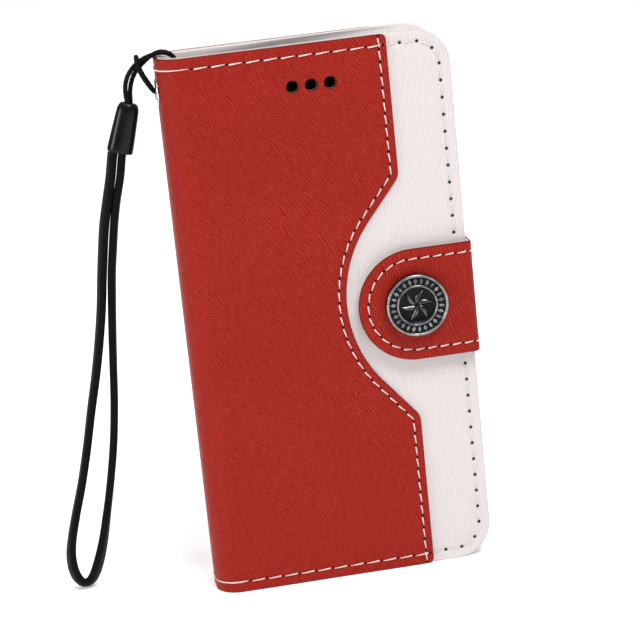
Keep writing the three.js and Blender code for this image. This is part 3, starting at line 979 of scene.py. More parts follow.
@dataclass(frozen=True)
class GrainedLeather(Finish):
    """Leather with a long flowing grain, on the flat coordinates of its sheet."""

    name: str
    deep: Colour
    middle: Colour
    high: Colour
    edge: Colour
    suede: Colour
    edge_share: float = 0.8
    pitch: float = 0.57
    length: float = 4.2
    forks: float = 2.2
    ridges: float = 0.5
    spread: float = 0.8
    relief: float = 0.00007
    roughness: float = 0.46
    gloss: float = 0.09
    lean: float = 0.62
    lean_fall: float = 0.22
    needle_shade_share: float = 1.0

    def make(self) -> bpy.types.Material:
        """Makes the leather's material."""
        sh = Shader(self.name)
        u, v = sh.flat()
        s, z = u * 100.0, v * 100.0
        wander = sh.noise(sh.vector(s * 0.05, z * 0.035), 1.0, 1.0)
        wander_fine = sh.noise(sh.vector(s * 0.34, z * 0.2, 4.0), 1.0, 1.0)
        lean = self.lean - u * self.lean_fall
        across = s * 0.9 + (z - 72.0) * lean + (wander - 0.5) * 5.0 + (wander_fine - 0.5) * 0.35
        along = z * 0.85 - s * 0.5
        fork = sh.noise(sh.vector(across / (3.4 * self.pitch), along / self.length, 21.0), 1.0, 1.0)
        ridge = sh.math("SINE", (across / self.pitch + fork * self.forks) * (2 * math.pi)) * 0.5 + 0.5
        worn_at = sh.vector(across / (1.7 * self.pitch), along / (0.45 * self.length), 9.0)
        wear = sh.noise(worn_at, 1.0, 2.0, 0.6)
        grain = ridge * self.ridges + wear * (1 - self.ridges)
        streak = sh.fit(grain, 0.5 - 0.5 * self.spread, 0.5 + 0.5 * self.spread)
        # The ramp's high stop is the light grain colour; on the red leathers it also holds painted sheen.
        ramp = {"stops": ((0.0, self.deep), (0.45, self.middle), (1.0, self.high))}
        colour = sh.node("ShaderNodeValToRGB", ramp, {"Fac": streak})
        cloud = sh.noise(sh.vector(s / 22.0, z / 27.0, 3.0), 1.0, 2.0)
        colour = sh.mix(sh.fit(cloud, 0.3, 0.75, 0.0, 0.16), colour, self.deep)
        edge = sh.attribute("edge")
        colour = sh.mix(sh.fit(edge, 0.3, 0.85, 0.0, self.edge_share), colour, self.edge)
        colour = sh.mix(sh.attribute("far_side"), colour, self.suede)
        # Painted shade: the colour at the needle holes is darkened to near black, as if shadowed inside them.
        hole = sh.fit(sh.attribute("needle"), 0.3, 0.62, 0.0, self.needle_shade_share)
        colour = sh.mix(hole, colour, (0.008, 0.004, 0.004))
        pores = sh.noise(sh.vector(s * 3.2, z * 3.2, 5.0), 1.0, 2.0)
        height = streak + pores * 0.22
        rough = sh.fit(streak, 0.0, 1.0, self.roughness + 0.08, self.roughness - 0.05) + hole * 0.3
        return sh.finish(
            Base_Color=colour, Roughness=rough, Specular_IOR_Level=self.gloss,
            Normal=sh.bump(height, self.relief),
        )


@dataclass(frozen=True)
class SewingThread(Finish):
    """Twisted thread, whose plies run round its own UV map, with painted shade between them."""

    name: str
    light: Colour
    groove_shade: Colour
    lay: float = 0.62

    def make(self) -> bpy.types.Material:
        """Makes the thread's material."""
        sh = Shader(self.name)
        u, v = sh.flat()
        turn = u * (100.0 / self.lay) + v
        ply = sh.math("SINE", turn * (4 * math.pi)) * 0.5 + 0.5
        fuzz = sh.noise(sh.vector(u * 900.0, v * 5.0), 1.0, 2.0)
        # Painted shade: the colour darkens between the plies, in the thread's grooves.
        colour = sh.mix(sh.fit(ply * 0.7 + fuzz * 0.3, 0.1, 0.7), self.groove_shade, self.light)
        return sh.finish(
            Base_Color=colour, Roughness=sh.fit(fuzz, 0.0, 1.0, 0.5, 0.75), Sheen_Weight=0.3,
            Normal=sh.bump(ply, 0.00005),
        )


@dataclass(frozen=True)
class Braid(Finish):
    """Round braided or flat woven cord, on the length and the round of its own UV map."""

    name: str
    light: Colour
    groove_shade: Colour
    lay: float
    strands: int
    relief: float

    def make(self) -> bpy.types.Material:
        """Makes the cord's material."""
        sh = Shader(self.name)
        u, v = sh.flat()
        along = u * (100.0 / self.lay)
        left = sh.math("SINE", (along + v * self.strands) * (2 * math.pi))
        right = sh.math("SINE", (along - v * self.strands) * (2 * math.pi))
        weave = sh.math("MAXIMUM", left, right) * 0.5 + 0.5
        fibre = sh.noise(sh.vector(u * 1400.0, v * 160.0), 1.0, 2.0)
        # Painted shade: the colour darkens in the hollows between the strands.
        colour = sh.mix(sh.fit(weave * 0.75 + fibre * 0.3, 0.25, 0.95), self.groove_shade, self.light)
        return sh.finish(
            Base_Color=colour, Roughness=sh.fit(fibre, 0.2, 0.8, 0.5, 0.75), Specular_IOR_Level=0.07,
            Normal=sh.bump(weave + fibre * 0.2, self.relief),
        )


@dataclass(frozen=True)
class Moulded(Finish):
    """Moulded plastic or foam: a fine tooled surface with faint flow and wear."""

    name: str
    colour: Colour
    lighter: Colour
    roughness: float = 0.38
    scale: float = 2600.0
    relief: float = 0.00002
    gloss: float = 0.1

    def make(self) -> bpy.types.Material:
        """Makes the plastic's material."""
        sh = Shader(self.name)
        place = sh.place()
        tooth = sh.noise(place, self.scale, 2.0)
        flow = sh.noise(place, 110.0, 3.0)
        colour = sh.mix(sh.fit(flow, 0.4, 0.75), self.colour, self.lighter)
        rough = sh.fit(tooth * 0.5 + flow * 0.5, 0.3, 0.7, self.roughness - 0.06, self.roughness + 0.1)
        return sh.finish(
            Base_Color=colour, Roughness=rough, Specular_IOR_Level=self.gloss,
            Normal=sh.bump(tooth, self.relief, 0.6),
        )


@dataclass(frozen=True)
class Metal(Finish):
    """Plated or enamelled metal with fine scratches and patches of tarnish."""

    name: str
    bright: Colour
    tarnish: Colour
    metallic: float = 1.0
    roughness: float = 0.24
    tarnish_share: float = 0.5

    def make(self) -> bpy.types.Material:
        """Makes the metal's material."""
        sh = Shader(self.name)
        place = sh.place()
        turned_place = sh.node("ShaderNodeMapping", None, {"Vector": place, "Rotation": (0.3, 0.5, 0.8)})
        scratch = sh.noise(sh.node(
            "ShaderNodeMapping", None, {"Vector": turned_place, "Scale": (9000.0, 700.0, 700.0)},
        ), 1.0, 2.0)
        stain = sh.noise(place, 700.0, 3.0, 0.6)
        share = sh.fit(stain, 0.42, 0.72, 0.0, self.tarnish_share)
        colour = sh.mix(share, self.bright, self.tarnish)
        rough = sh.fit(scratch * 0.4 + stain * 0.6, 0.3, 0.7, self.roughness - 0.05, self.roughness + 0.14)
        return sh.finish(
            Base_Color=colour, Metallic=self.metallic, Roughness=rough, Specular_IOR_Level=0.2,
            Normal=sh.bump(scratch, 0.000012, 0.5),
        )


@dataclass(frozen=True)
class Board(Finish):
    """Grey pressed board with a layered, fibrous surface."""

    name: str
    colour: Colour
    fibre: Colour

    def make(self) -> bpy.types.Material:
        """Makes the board's material."""
        sh = Shader(self.name)
        place = sh.place()
        layers = sh.node("ShaderNodeMapping", None, {"Vector": place, "Scale": (1.0, 9.0, 1.0)})
        fibres = sh.noise(layers, 700.0, 4.0, 0.65)
        specks = sh.noise(place, 2400.0, 1.0)
        colour = sh.mix(sh.fit(fibres, 0.35, 0.65), self.colour, self.fibre)
        colour = sh.mix(sh.fit(specks, 0.62, 0.75, 0.0, 0.4), colour, (0.12, 0.1, 0.08))
        return sh.finish(
            Base_Color=colour, Specular_IOR_Level=0.1, Roughness=sh.fit(fibres, 0.3, 0.7, 0.85, 0.97),
            Normal=sh.bump(fibres, 0.00006),
        )


# The high colour is partly the grain's lighter tone and partly painted sheen, whitened in green and blue.
RED_LEATHER = GrainedLeather(
    "red_leather", deep=(0.18, 0.0055, 0.003), middle=(0.262, 0.0095, 0.0038), high=(0.37, 0.036, 0.024),
    edge=(0.05, 0.003, 0.004), suede=(0.38, 0.05, 0.04),
)
# The strap shares the red leather's high colour, partly grain tone and partly painted sheen.
STRAP_LEATHER = GrainedLeather(
    "strap_leather", deep=(0.18, 0.0055, 0.003), middle=(0.262, 0.0095, 0.0038), high=(0.37, 0.036, 0.024),
    edge=(0.03, 0.002, 0.004), suede=(0.38, 0.05, 0.04), lean=0.2, lean_fall=0.0,
)
WHITE_LEATHER = GrainedLeather(
    "white_leather", deep=(0.555, 0.51, 0.50), middle=(0.610, 0.566, 0.560), high=(0.65, 0.61, 0.605),
    edge=(0.40, 0.33, 0.32), suede=(0.6, 0.55, 0.53), edge_share=0.45, relief=0.00003, lean=0.1,
    lean_fall=0.3, needle_shade_share=1.0,
)
LINING_LEATHER = GrainedLeather(
    "lining_leather", deep=(0.66, 0.615, 0.60), middle=(0.72, 0.68, 0.67), high=(0.76, 0.725, 0.715),
    edge=(0.5, 0.42, 0.4), suede=(0.6, 0.55, 0.53), edge_share=0.35, relief=0.00003, pitch=0.45, length=1.2,
    lean=0.1, lean_fall=0.1, roughness=0.6, needle_shade_share=0.6,
)
PALE_THREAD = SewingThread("pale_thread", light=(0.93, 0.74, 0.70), groove_shade=(0.62, 0.33, 0.31))
WHITE_THREAD = SewingThread("white_thread", light=(0.88, 0.83, 0.83), groove_shade=(0.62, 0.56, 0.56))
BRAIDED_CORD = Braid("braided_cord", (0.006, 0.006, 0.007), (0.0008, 0.0008, 0.001), 1.3, 3, 0.00006)
WOVEN_NYLON = Braid("woven_nylon", (0.0045, 0.0045, 0.005), (0.0006, 0.0006, 0.0008), 0.9, 14, 0.00005)
SATIN_PLASTIC = Moulded(
    "satin_plastic", (0.0015, 0.0015, 0.002), (0.004, 0.004, 0.005),
    roughness=0.24, gloss=0.2,
)
TRAY_PLASTIC = Moulded("tray_plastic", (0.009, 0.009, 0.010), (0.016, 0.016, 0.018), roughness=0.42)
FOAM_PAD = Moulded(
    "foam_pad", (0.66, 0.63, 0.58), (0.74, 0.71, 0.67),
    roughness=0.85, scale=1500, relief=0.00006,
)
BLACK_ENAMEL = Metal(
    "black_enamel", (0.006, 0.006, 0.007), (0.012, 0.012, 0.014),
    metallic=0.6, roughness=0.3,
)
OLD_SILVER = Metal("old_silver", (0.26, 0.26, 0.265), (0.02, 0.02, 0.022), roughness=0.3, tarnish_share=0.9)
DARK_SILVER = Metal(
    "dark_silver", (0.11, 0.11, 0.115), (0.012, 0.012, 0.013),
    roughness=0.2, tarnish_share=0.8,
)
WORN_PLATE = Metal("worn_plate", (0.3, 0.295, 0.3), (0.04, 0.038, 0.04), roughness=0.22, tarnish_share=0.7)
NICKEL = Metal("nickel", (0.72, 0.71, 0.70), (0.4, 0.39, 0.38), roughness=0.16, tarnish_share=0.3)
GREY_BOARD = Board("grey_board", (0.15, 0.135, 0.125), (0.21, 0.19, 0.175))


def put_on(piece: bpy.types.Object, finish: Finish) -> None:
    """Gives a piece's only material slot a finish."""
    piece.data.materials.clear()
    piece.data.materials.append(finish.material())


def dress(piece: bpy.types.Object, finish: Finish) -> None:
    """Gives a new piece a finish and reports it."""
    put_on(piece, finish)
    LOG.info("made %s with %d faces", piece.name, len(piece.data.polygons))


# ---- Cords ----

# Routes in metres in case coordinates, from the sleeve and back to it.
LANYARD_CORD_ROUTE = (
    (-7.9, 8.5, 132.2), (-8, 8.4, 133.8), (-8.1, 8.2, 136), (-7.9, 8, 137.9), (-7.2, 7.9, 139.9),
    (-6, 7.9, 141.6), (-4.5, 7.8, 143), (-2.6, 7.7, 144.1), (-0.6, 7.7, 144.7), (1.5, 7.7, 145.1),
    (3.5, 7.7, 144.8), (5.1, 7.7, 143.5), (5.4, 7.7, 141.2), (4.95, 7.7, 138.8), (4.5, 7.7, 136.6),
    (3.6, 7.75, 135.4), (2.2, 7.77, 135.1), (0.6, 7.77, 135.1), (-0.7, 7.7, 135.4), (-1.7, 7.3, 136.7),
    (-3, 6.7, 139), (-3.8, 6.4, 140.8), (-4.3, 6.3, 142.4), (-4.5, 6.6, 143.8), (-4.4, 7.6, 144.6),
    (-4.3, 8.8, 144.6), (-4.1, 9.9, 144), (-3.9, 10.6, 142.7), (-3.6, 10.7, 141.2), (-3, 10.3, 139.6),
    (-2.2, 9.8, 138), (-1.5, 9.4, 136.7), (-0.7, 9.05, 135.4), (0.6, 9.01, 135.1), (2.2, 9.01, 135.1),
    (3.6, 9.03, 135.4), (4.5, 9.1, 136.6), (4.95, 9.1, 138.8), (5.4, 9.1, 141.2), (5.1, 9.1, 143.5),
    (3.5, 9.1, 144.8), (1.5, 9.1, 145.1), (-0.5, 9.1, 144.4), (-2.3, 9.15, 143.2), (-3.9, 9.2, 141.8),
    (-5.2, 9.3, 140.3), (-6.2, 9.4, 138.3), (-6.8, 9.4, 136), (-7, 9.3, 133.7), (-7.2, 9.2, 132.1),
)
WRIST_LOOP_ROUTE = (
    (-10.3, 9.1, 121.5), (-10.9, 9.2, 119.6), (-12, 9.8, 114), (-13.6, 10.5, 108), (-14.9, 11, 102),
    (-15.9, 11.7, 96), (-17, 12.4, 89), (-17.9, 13.2, 81), (-18.8, 14, 72), (-19.6, 15, 63),
    (-20.5, 16, 53), (-21.9, 17.2, 42), (-23.8, 18.4, 31.5), (-26, 19.3, 21.5), (-28.2, 20.2, 12.5),
    (-30.3, 20.8, 6.2), (-31.6, 21.1, 3.4), (-33, 21.3, 1.8), (-34.7, 21.3, 1.6), (-36, 21.2, 3),
    (-36.9, 20.9, 5.8), (-37.1, 20.5, 10), (-36.4, 20.1, 14.5), (-34.4, 19.3, 22), (-32, 18.5, 30),
    (-29.4, 17.5, 40), (-26.9, 16.4, 51), (-24.5, 15.3, 61), (-22.5, 14.3, 70.5), (-20.9, 13.3, 79.5),
    (-19.8, 12.5, 87.5), (-18.6, 11.7, 95.5), (-17.5, 11, 102), (-16, 10.5, 108.2), (-14.5, 9.8, 114.3),
    (-13.3, 9.2, 120.3), (-12.7, 9.1, 122.2),
)


def through(route: Sequence[tuple[float, float, float]], spacing: float) -> np.ndarray:
    """Draws a smooth centripetal curve through a route's points.

    Args:
        route: The points in case coordinates.
        spacing: How far apart the curve's own points are, in metres.

    Returns:
        The curve's points in metres in the frame.
    """
    given = np.array(route) * MM
    knots = np.vstack([2 * given[0] - given[1], given, 2 * given[-1] - given[-2]])
    curve = []
    for p0, p1, p2, p3 in zip(knots, knots[1:], knots[2:], knots[3:]):
        t0 = 0.0
        t1 = t0 + np.linalg.norm(p1 - p0) ** 0.5
        t2 = t1 + np.linalg.norm(p2 - p1) ** 0.5
        t3 = t2 + np.linalg.norm(p3 - p2) ** 0.5
        t = np.linspace(t1, t2, 24, endpoint=False)[:, None]
        a1 = ((t1 - t) * p0 + (t - t0) * p1) / (t1 - t0)
        a2 = ((t2 - t) * p1 + (t - t1) * p2) / (t2 - t1)
        a3 = ((t3 - t) * p2 + (t - t2) * p3) / (t3 - t2)
        b1 = ((t2 - t) * a1 + (t - t0) * a2) / (t2 - t0)
        b2 = ((t3 - t) * a2 + (t - t1) * a3) / (t3 - t1)
        curve.append(((t2 - t) * b1 + (t - t1) * b2) / (t2 - t1))
    curve = np.vstack([*curve, given[-1:]])
    length = float(line_lengths(curve)[-1])
    return walk(curve, np.linspace(0, length, round(length / spacing) + 1)) + CASE_ORIGIN


def swept(name: str, line: np.ndarray, across: np.ndarray, section: np.ndarray) -> bpy.types.Object:
    """Sweeps a closed section along a line.

    Args:
        name: The piece's name.
        line: The line's points in metres in the frame.
        across: For each point, the direction of the section's first axis.
        section: The section's points, for each point of the line, as rows of two lengths in metres.

    Returns:
        The closed tube, with the length along it in its UV map, in decimetres, and the share round it.
    """
    count, sides = section.shape[:2]
    run = np.gradient(line, axis=0)
    run /= np.linalg.norm(run, axis=1)[:, None]
    across = across - run * np.einsum("ij,ij->i", across, run)[:, None]
    across /= np.linalg.norm(across, axis=1)[:, None]
    other = np.cross(run, across)
    rings = line[:, None] + across[:, None] * section[..., :1] + other[:, None] * section[..., 1:]
    points = rings.reshape(-1, 3)
    mesh = bpy.data.meshes.new(name)
    mesh.from_pydata(points.tolist(), [], tube_faces(count, sides, 0))
    along = line_lengths(line) * 10
    share = np.arange(sides) / sides
    set_uv(mesh, np.stack(np.meshgrid(along, share, indexing="ij"), axis=2).reshape(-1, 2))
    close_up(mesh, 70)
    return added(mesh)


@dataclass
class WristStrap:
    """The lanyard cord, the moulded sleeve and the flat wrist loop."""

    cord_diameter: float = 0.0012
    cord_length: float = 0.0925
    loop_width: float = 0.0044
    loop_thickness: float = 0.0021
    loop_length: float = 0.25
    sleeve_top: tuple[float, float, float] = (-7.45, 9.0, 133.1)
    sleeve_lean: float = 17.6
    sleeve_flatness: float = 0.82
    sleeve_slot: float = 0.42
    slot_depth: float = 1.6

    # Heights below the sleeve's top and radii.
    SLEEVE_PROFILE = (
        (0.0, 1.75), (0.08, 2.0), (0.25, 2.2), (0.55, 2.42), (1.0, 2.62), (1.6, 2.8), (2.8, 2.92),
        (4.6, 3.02), (7.0, 3.15), (9.5, 3.28), (11.5, 3.36), (12.5, 3.38),
        (12.78, 3.33), (12.94, 3.2), (13.0, 3.02),
    )
    # Shares of the way along the loop and how far its flat is turned there, in degrees.
    TWIST = (
        (0.0, 8), (0.1, 11), (0.2, 9), (0.27, 3), (0.36, 3), (0.42, 12), (0.465, 30), (0.5, 40), (0.53, 10),
        (0.58, 1), (0.7, 2), (0.8, 7), (0.88, 11), (1.0, 9),
    )
    BODY = "spine"

    def build(self) -> None:
        sleeve = self._sleeve()
        cord = self._lanyard_cord()
        loop = self._wrist_loop()
        dress(cord, BRAIDED_CORD)
        dress(sleeve, SATIN_PLASTIC)
        dress(loop, WOVEN_NYLON)

    def _lanyard_cord(self) -> bpy.types.Object:
        """Makes the braided cord that holds the sleeve on the eyelet."""
        line = through(LANYARD_CORD_ROUTE, 0.0004)
        turns = np.arange(12) * math.pi / 6
        radius = self.cord_diameter / 2
        lay = line_lengths(line) / (1.1 * self.cord_diameter)
        ripple = 1 + 0.05 * np.cos(4 * turns[None] + 2 * math.pi * lay[:, None])
        section = radius * ripple[..., None] * np.stack([np.cos(turns), np.sin(turns)], axis=1)[None]
        across = self._carried(line, np.array([0.0, 1.0, 0.0]))
        cord = swept("braided_lanyard_cord", line, across, section)
        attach(cord, self.BODY)
        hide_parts("lanyard_cord")
        return cord

    def _wrist_loop(self) -> bpy.types.Object:
        """Makes the flat woven loop."""
        line = through(WRIST_LOOP_ROUTE, 0.0008)
        shares, angles = zip(*self.TWIST)
        along = np.linspace(0, 1, len(line))
        twist = np.radians(np.interp(along, shares, angles))
        smooth = np.convolve(np.pad(twist, 12, mode="edge"), np.ones(25) / 25, mode="valid")
        turns = np.arange(20) * 2 * math.pi / 20
        flat = np.stack([
            np.sign(np.cos(turns)) * abs(np.cos(turns)) ** 0.5 * self.loop_width / 2,
            np.sign(np.sin(turns)) * abs(np.sin(turns)) ** 0.7 * self.loop_thickness / 2,
        ], axis=1)
        section = np.broadcast_to(flat, (len(line), *flat.shape))
        run = np.gradient(line, axis=0)
        run /= np.linalg.norm(run, axis=1)[:, None]
        level_across = np.array([0.0, 1.0, 0.0]) - run * run[:, 1:2]
        level_across /= np.linalg.norm(level_across, axis=1)[:, None]
        side = np.cross(run, level_across)
        across = level_across * np.cos(smooth)[:, None] + side * np.sin(smooth)[:, None]
        loop = swept("woven_wrist_loop", line, across, section)
        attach(loop, self.BODY)
        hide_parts("wrist_loop")
        return loop

    @staticmethod
    def _carried(line: np.ndarray, first: np.ndarray) -> np.ndarray:
        """Carries a direction along a line without twisting it."""
        run = np.gradient(line, axis=0)
        run /= np.linalg.norm(run, axis=1)[:, None]
        rows = [first]
        for along in run[1:]:
            row = rows[-1] - along * float(rows[-1] @ along)
            rows.append(row / np.linalg.norm(row))
        return np.array(rows)

    def _sleeve(self) -> bpy.types.Object:
        """Makes the moulded sleeve, with a slot in its lower end for the loop."""
        profile = [(radius, -down) for down, radius in self.SLEEVE_PROFILE]
        last = profile[-1]
        inner = last[0] - self.sleeve_slot
        profile += [(inner, last[1]), (inner - 0.1, last[1] + self.slot_depth)]
        sleeve = turned("moulded_sleeve", profile, 64)
        fill_ends(sleeve)
        smoothed(sleeve, 40)
        sleeve.data.transform(Matrix.Diagonal((MM, MM * self.sleeve_flatness, MM, 1)))
        sleeve.data.transform(Matrix.Rotation(math.radians(self.sleeve_lean), 4, "Y"))
        sleeve.data.transform(Matrix.Translation(Vector(to_frame(np.array(self.sleeve_top)))))
        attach(sleeve, self.BODY)
        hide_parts("lanyard_sleeve")
        return sleeve


# ---- Turned and cast pieces ----


def start_clean() -> None:
    """Leaves edit mode and deselects everything."""
    if bpy.context.object and bpy.context.object.mode != "OBJECT":
        bpy.ops.object.mode_set(mode="OBJECT")
    bpy.ops.object.select_all(action="DESELECT")


def turned(
    name: str, profile: Sequence[tuple[float, float]], segments: int, ring: bool = False,
) -> bpy.types.Object:
    """Models a turned piece about the Z axis by extruding a circle along its profile.

    Args:
        name: The piece's name.
        profile: Radii and heights, from one end of the piece to the other.
        segments: How many sides the circle has.
        ring: Whether the profile closes on itself, as on a washer.

    Returns:
        The new object, in the profile's own unit.
    """
    start_clean()
    radius, height = profile[0]
    bpy.ops.mesh.primitive_circle_add(vertices=segments, radius=radius, location=(0, 0, 0))
    piece = bpy.context.object
    piece.name = name
    piece.data.name = name
    bpy.ops.object.mode_set(mode="EDIT")
    bpy.ops.mesh.select_all(action="SELECT")
    bpy.ops.transform.translate(value=(0, 0, height))
    if not ring:
        bpy.ops.mesh.edge_face_add()
        bpy.ops.mesh.select_all(action="SELECT")
    steps = list(profile) + ([profile[0]] if ring else [])
    for (r0, h0), (r1, h1) in zip(steps, steps[1:]):
        bpy.ops.mesh.extrude_region_move(TRANSFORM_OT_translate={"value": (0, 0, h1 - h0)})
        bpy.ops.transform.resize(value=(r1 / r0, r1 / r0, 1), center_override=(0, 0, h1))
    if ring:
        bpy.ops.mesh.select_all(action="SELECT")
        bpy.ops.mesh.remove_doubles(threshold=1e-4)
    bpy.ops.mesh.select_all(action="SELECT")
    bpy.ops.mesh.normals_make_consistent(inside=False)
    bpy.ops.object.mode_set(mode="OBJECT")
    return piece


def fill_ends(piece: bpy.types.Object) -> None:
    """Closes the open ends of a piece and turns its faces outwards."""
    work = bmesh.new()
    work.from_mesh(piece.data)
    bmesh.ops.holes_fill(work, edges=[e for e in work.edges if e.is_boundary], sides=0)
    bmesh.ops.recalc_face_normals(work, faces=work.faces)
    work.to_mesh(piece.data)
    work.free()


def joined(name: str, pieces: Sequence[bpy.types.Object]) -> bpy.types.Object:
    """Returns some pieces joined into one with the given name."""
    start_clean()
    for piece in pieces:
        piece.select_set(True)
    bpy.context.view_layer.objects.active = pieces[0]
    bpy.ops.object.join()
    result = bpy.context.object
    result.name = name
    result.data.name = name
    return result


def copied_round(piece: bpy.types.Object, count: int) -> list[bpy.types.Object]:
    """Copies a piece evenly round the Z axis, each copy with its own mesh.

    Args:
        piece: The first of the pieces.
        count: How many there are in all.

    Returns:
        The piece and its copies.
    """
    pieces = [piece]
    for turn in range(1, count):
        copy = piece.copy()
        copy.data = piece.data.copy()
        bpy.context.scene.collection.objects.link(copy)
        copy.data.transform(Matrix.Rotation(2 * math.pi * turn / count, 4, "Z"))
        pieces.append(copy)
    return pieces


def smoothed(piece: bpy.types.Object, angle: float = 35.0) -> bpy.types.Object:
    """Shades a piece smooth, with creases over an angle in degrees, and returns it."""
    start_clean()
    piece.select_set(True)
    bpy.context.view_layer.objects.active = piece
    bpy.ops.object.shade_smooth_by_angle(angle=math.radians(angle))
    return piece


TO_FRONT = Matrix.Rotation(math.radians(90), 4, "X")
TO_LEFT = Matrix.Rotation(math.radians(-90), 4, "Y")


def set_at(piece: bpy.types.Object, centre: np.ndarray, turn: Matrix) -> None:
    """Scales a piece made along +Z in millimetres, turns it and moves it to its centre."""
    piece.data.transform(Matrix.Scale(MM, 4))
    piece.data.transform(turn)
    piece.data.transform(Matrix.Translation(Vector(to_frame(centre))))


@dataclass
class ClaspButton:
    """The cast button on the strap: a plated rim, a black band with raised marks and a dished middle."""

    radius: float = BUTTON_RADIUS
    height: float = 2.6
    marks: int = 26
    petals: int = 6

    BODY = "strap_tab"

    def build(self) -> None:
        """Makes and dresses the button's pieces."""
        centre = np.array([BUTTON_CENTRE[0], BUTTON_BACK, BUTTON_CENTRE[2]])
        base = self._base()
        finishes = (
            (base, BLACK_ENAMEL), (self._rim(), WORN_PLATE), (self._inner_ring(), OLD_SILVER),
            (self._marks(), OLD_SILVER), (self._petals(), DARK_SILVER),
        )
        for piece, finish in finishes:
            set_at(piece, centre, TO_FRONT)
            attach(piece, self.BODY)
            dress(piece, finish)
        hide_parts("button_cap")

    def _base(self) -> bpy.types.Object:
        """Makes the black cast body with its band and its dish."""
        r, h = self.radius, self.height
        profile = [
            (r - 0.6, 0.0), (r - 0.2, 0.12), (r - 0.04, 0.5), (r - 0.04, h - 0.95), (r - 0.3, h - 0.55),
            (r - 0.95, h - 0.5), (r - 1.1, h - 0.52), (5.75, h - 0.52), (5.45, h - 0.45), (5.0, h - 0.5),
            (4.75, h - 0.78), (4.3, h - 1.0), (3.4, h - 1.12), (2.0, h - 1.16), (0.6, h - 1.14),
        ]
        base = turned("button_base", profile, 96)
        fill_ends(base)
        return smoothed(base, 40)

    def _rim(self) -> bpy.types.Object:
        """Makes the thin plated rim."""
        r, h = self.radius, self.height
        profile = [
            (r, h - 0.85), (r, h - 0.3), (r - 0.1, h - 0.1), (r - 0.3, h), (r - 0.55, h - 0.03),
            (r - 0.72, h - 0.16), (r - 0.78, h - 0.4), (r - 0.5, h - 0.75),
        ]
        return smoothed(turned("button_rim", profile, 96, ring=True), 60)

    def _inner_ring(self) -> bpy.types.Object:
        """Makes the raised ring between the band and the dish."""
        h = self.height
        profile = [
            (5.5, h - 0.6), (5.46, h - 0.3), (5.34, h - 0.17), (5.18, h - 0.14), (5.02, h - 0.2),
            (4.92, h - 0.36), (4.9, h - 0.66), (5.2, h - 0.72),
        ]
        return smoothed(turned("button_inner_ring", profile, 96, ring=True), 60)

    def _marks(self) -> bpy.types.Object:
        """Makes the band's raised marks: outlined lozenges and bars in turn."""
        base_height = self.height - 0.53
        middle = (self.radius - 1.0 + 5.6) / 2
        lozenge = self._outlined("lozenge", 4, (0.5, 0.82), 0.14, base_height, middle)
        bar = self._outlined("bar", 8, (0.34, 0.72), 0.12, base_height, middle)
        bar.data.transform(Matrix.Rotation(math.pi / (self.marks // 2), 4, "Z"))
        pieces = copied_round(lozenge, self.marks // 2) + copied_round(bar, self.marks // 2)
        return smoothed(joined("button_marks", pieces), 30)

    def _outlined(
        self, name: str, corners: int, half: tuple[float, float], wall: float, height: float, out: float,
    ) -> bpy.types.Object:
        """Models one raised mark with a sunk middle.

        Args:
            name: The mark's name.
            corners: How many corners it has.
            half: Half its width and half its length.
            wall: How wide its raised outline is.
            height: The height that it stands on.
            out: How far it is from the button's middle.

        Returns:
            The new object.
        """
        start_clean()
        bpy.ops.mesh.primitive_circle_add(vertices=corners, radius=1, fill_type="NGON", location=(0, 0, 0))
        mark = bpy.context.object
        mark.name = name
        bpy.ops.object.mode_set(mode="EDIT")
        bpy.ops.mesh.select_all(action="SELECT")
        bpy.ops.transform.resize(value=(half[0], half[1], 1), center_override=(0, 0, 0))
        bpy.ops.transform.translate(value=(0, out, height))
        bpy.ops.mesh.extrude_region_move(TRANSFORM_OT_translate={"value": (0, 0, 0.24)})
        bpy.ops.mesh.inset(thickness=wall, depth=0)
        bpy.ops.mesh.extrude_region_move(TRANSFORM_OT_translate={"value": (0, 0, -0.14)})
        bpy.ops.object.mode_set(mode="OBJECT")
        fill_ends(mark)
        return mark

    def _petals(self) -> bpy.types.Object:
        """Makes the rosette of curved petals in the dish."""
        floor = self.height - 1.2
        start_clean()
        bpy.ops.mesh.primitive_circle_add(vertices=20, radius=1, fill_type="NGON", location=(0, 0, 0))
        petal = bpy.context.object
        bpy.ops.object.mode_set(mode="EDIT")
        bpy.ops.mesh.select_all(action="SELECT")
        bpy.ops.transform.resize(value=(0.8, 1.75, 1), center_override=(0, 0, 0))
        bpy.ops.transform.translate(value=(0.0, 2.2, floor))
        bpy.ops.mesh.extrude_region_move(TRANSFORM_OT_translate={"value": (0, 0, 0.3)})
        for _ in range(3):
            bpy.ops.mesh.inset(thickness=0.16, depth=0.12)
        bpy.ops.object.mode_set(mode="OBJECT")
        fill_ends(petal)
        for vertex in petal.data.vertices:
            bend = 0.16 * (vertex.co.y - 0.5) ** 2
            vertex.co.x += bend
        pieces = copied_round(petal, self.petals)
        return smoothed(joined("button_rosette", pieces), 60)


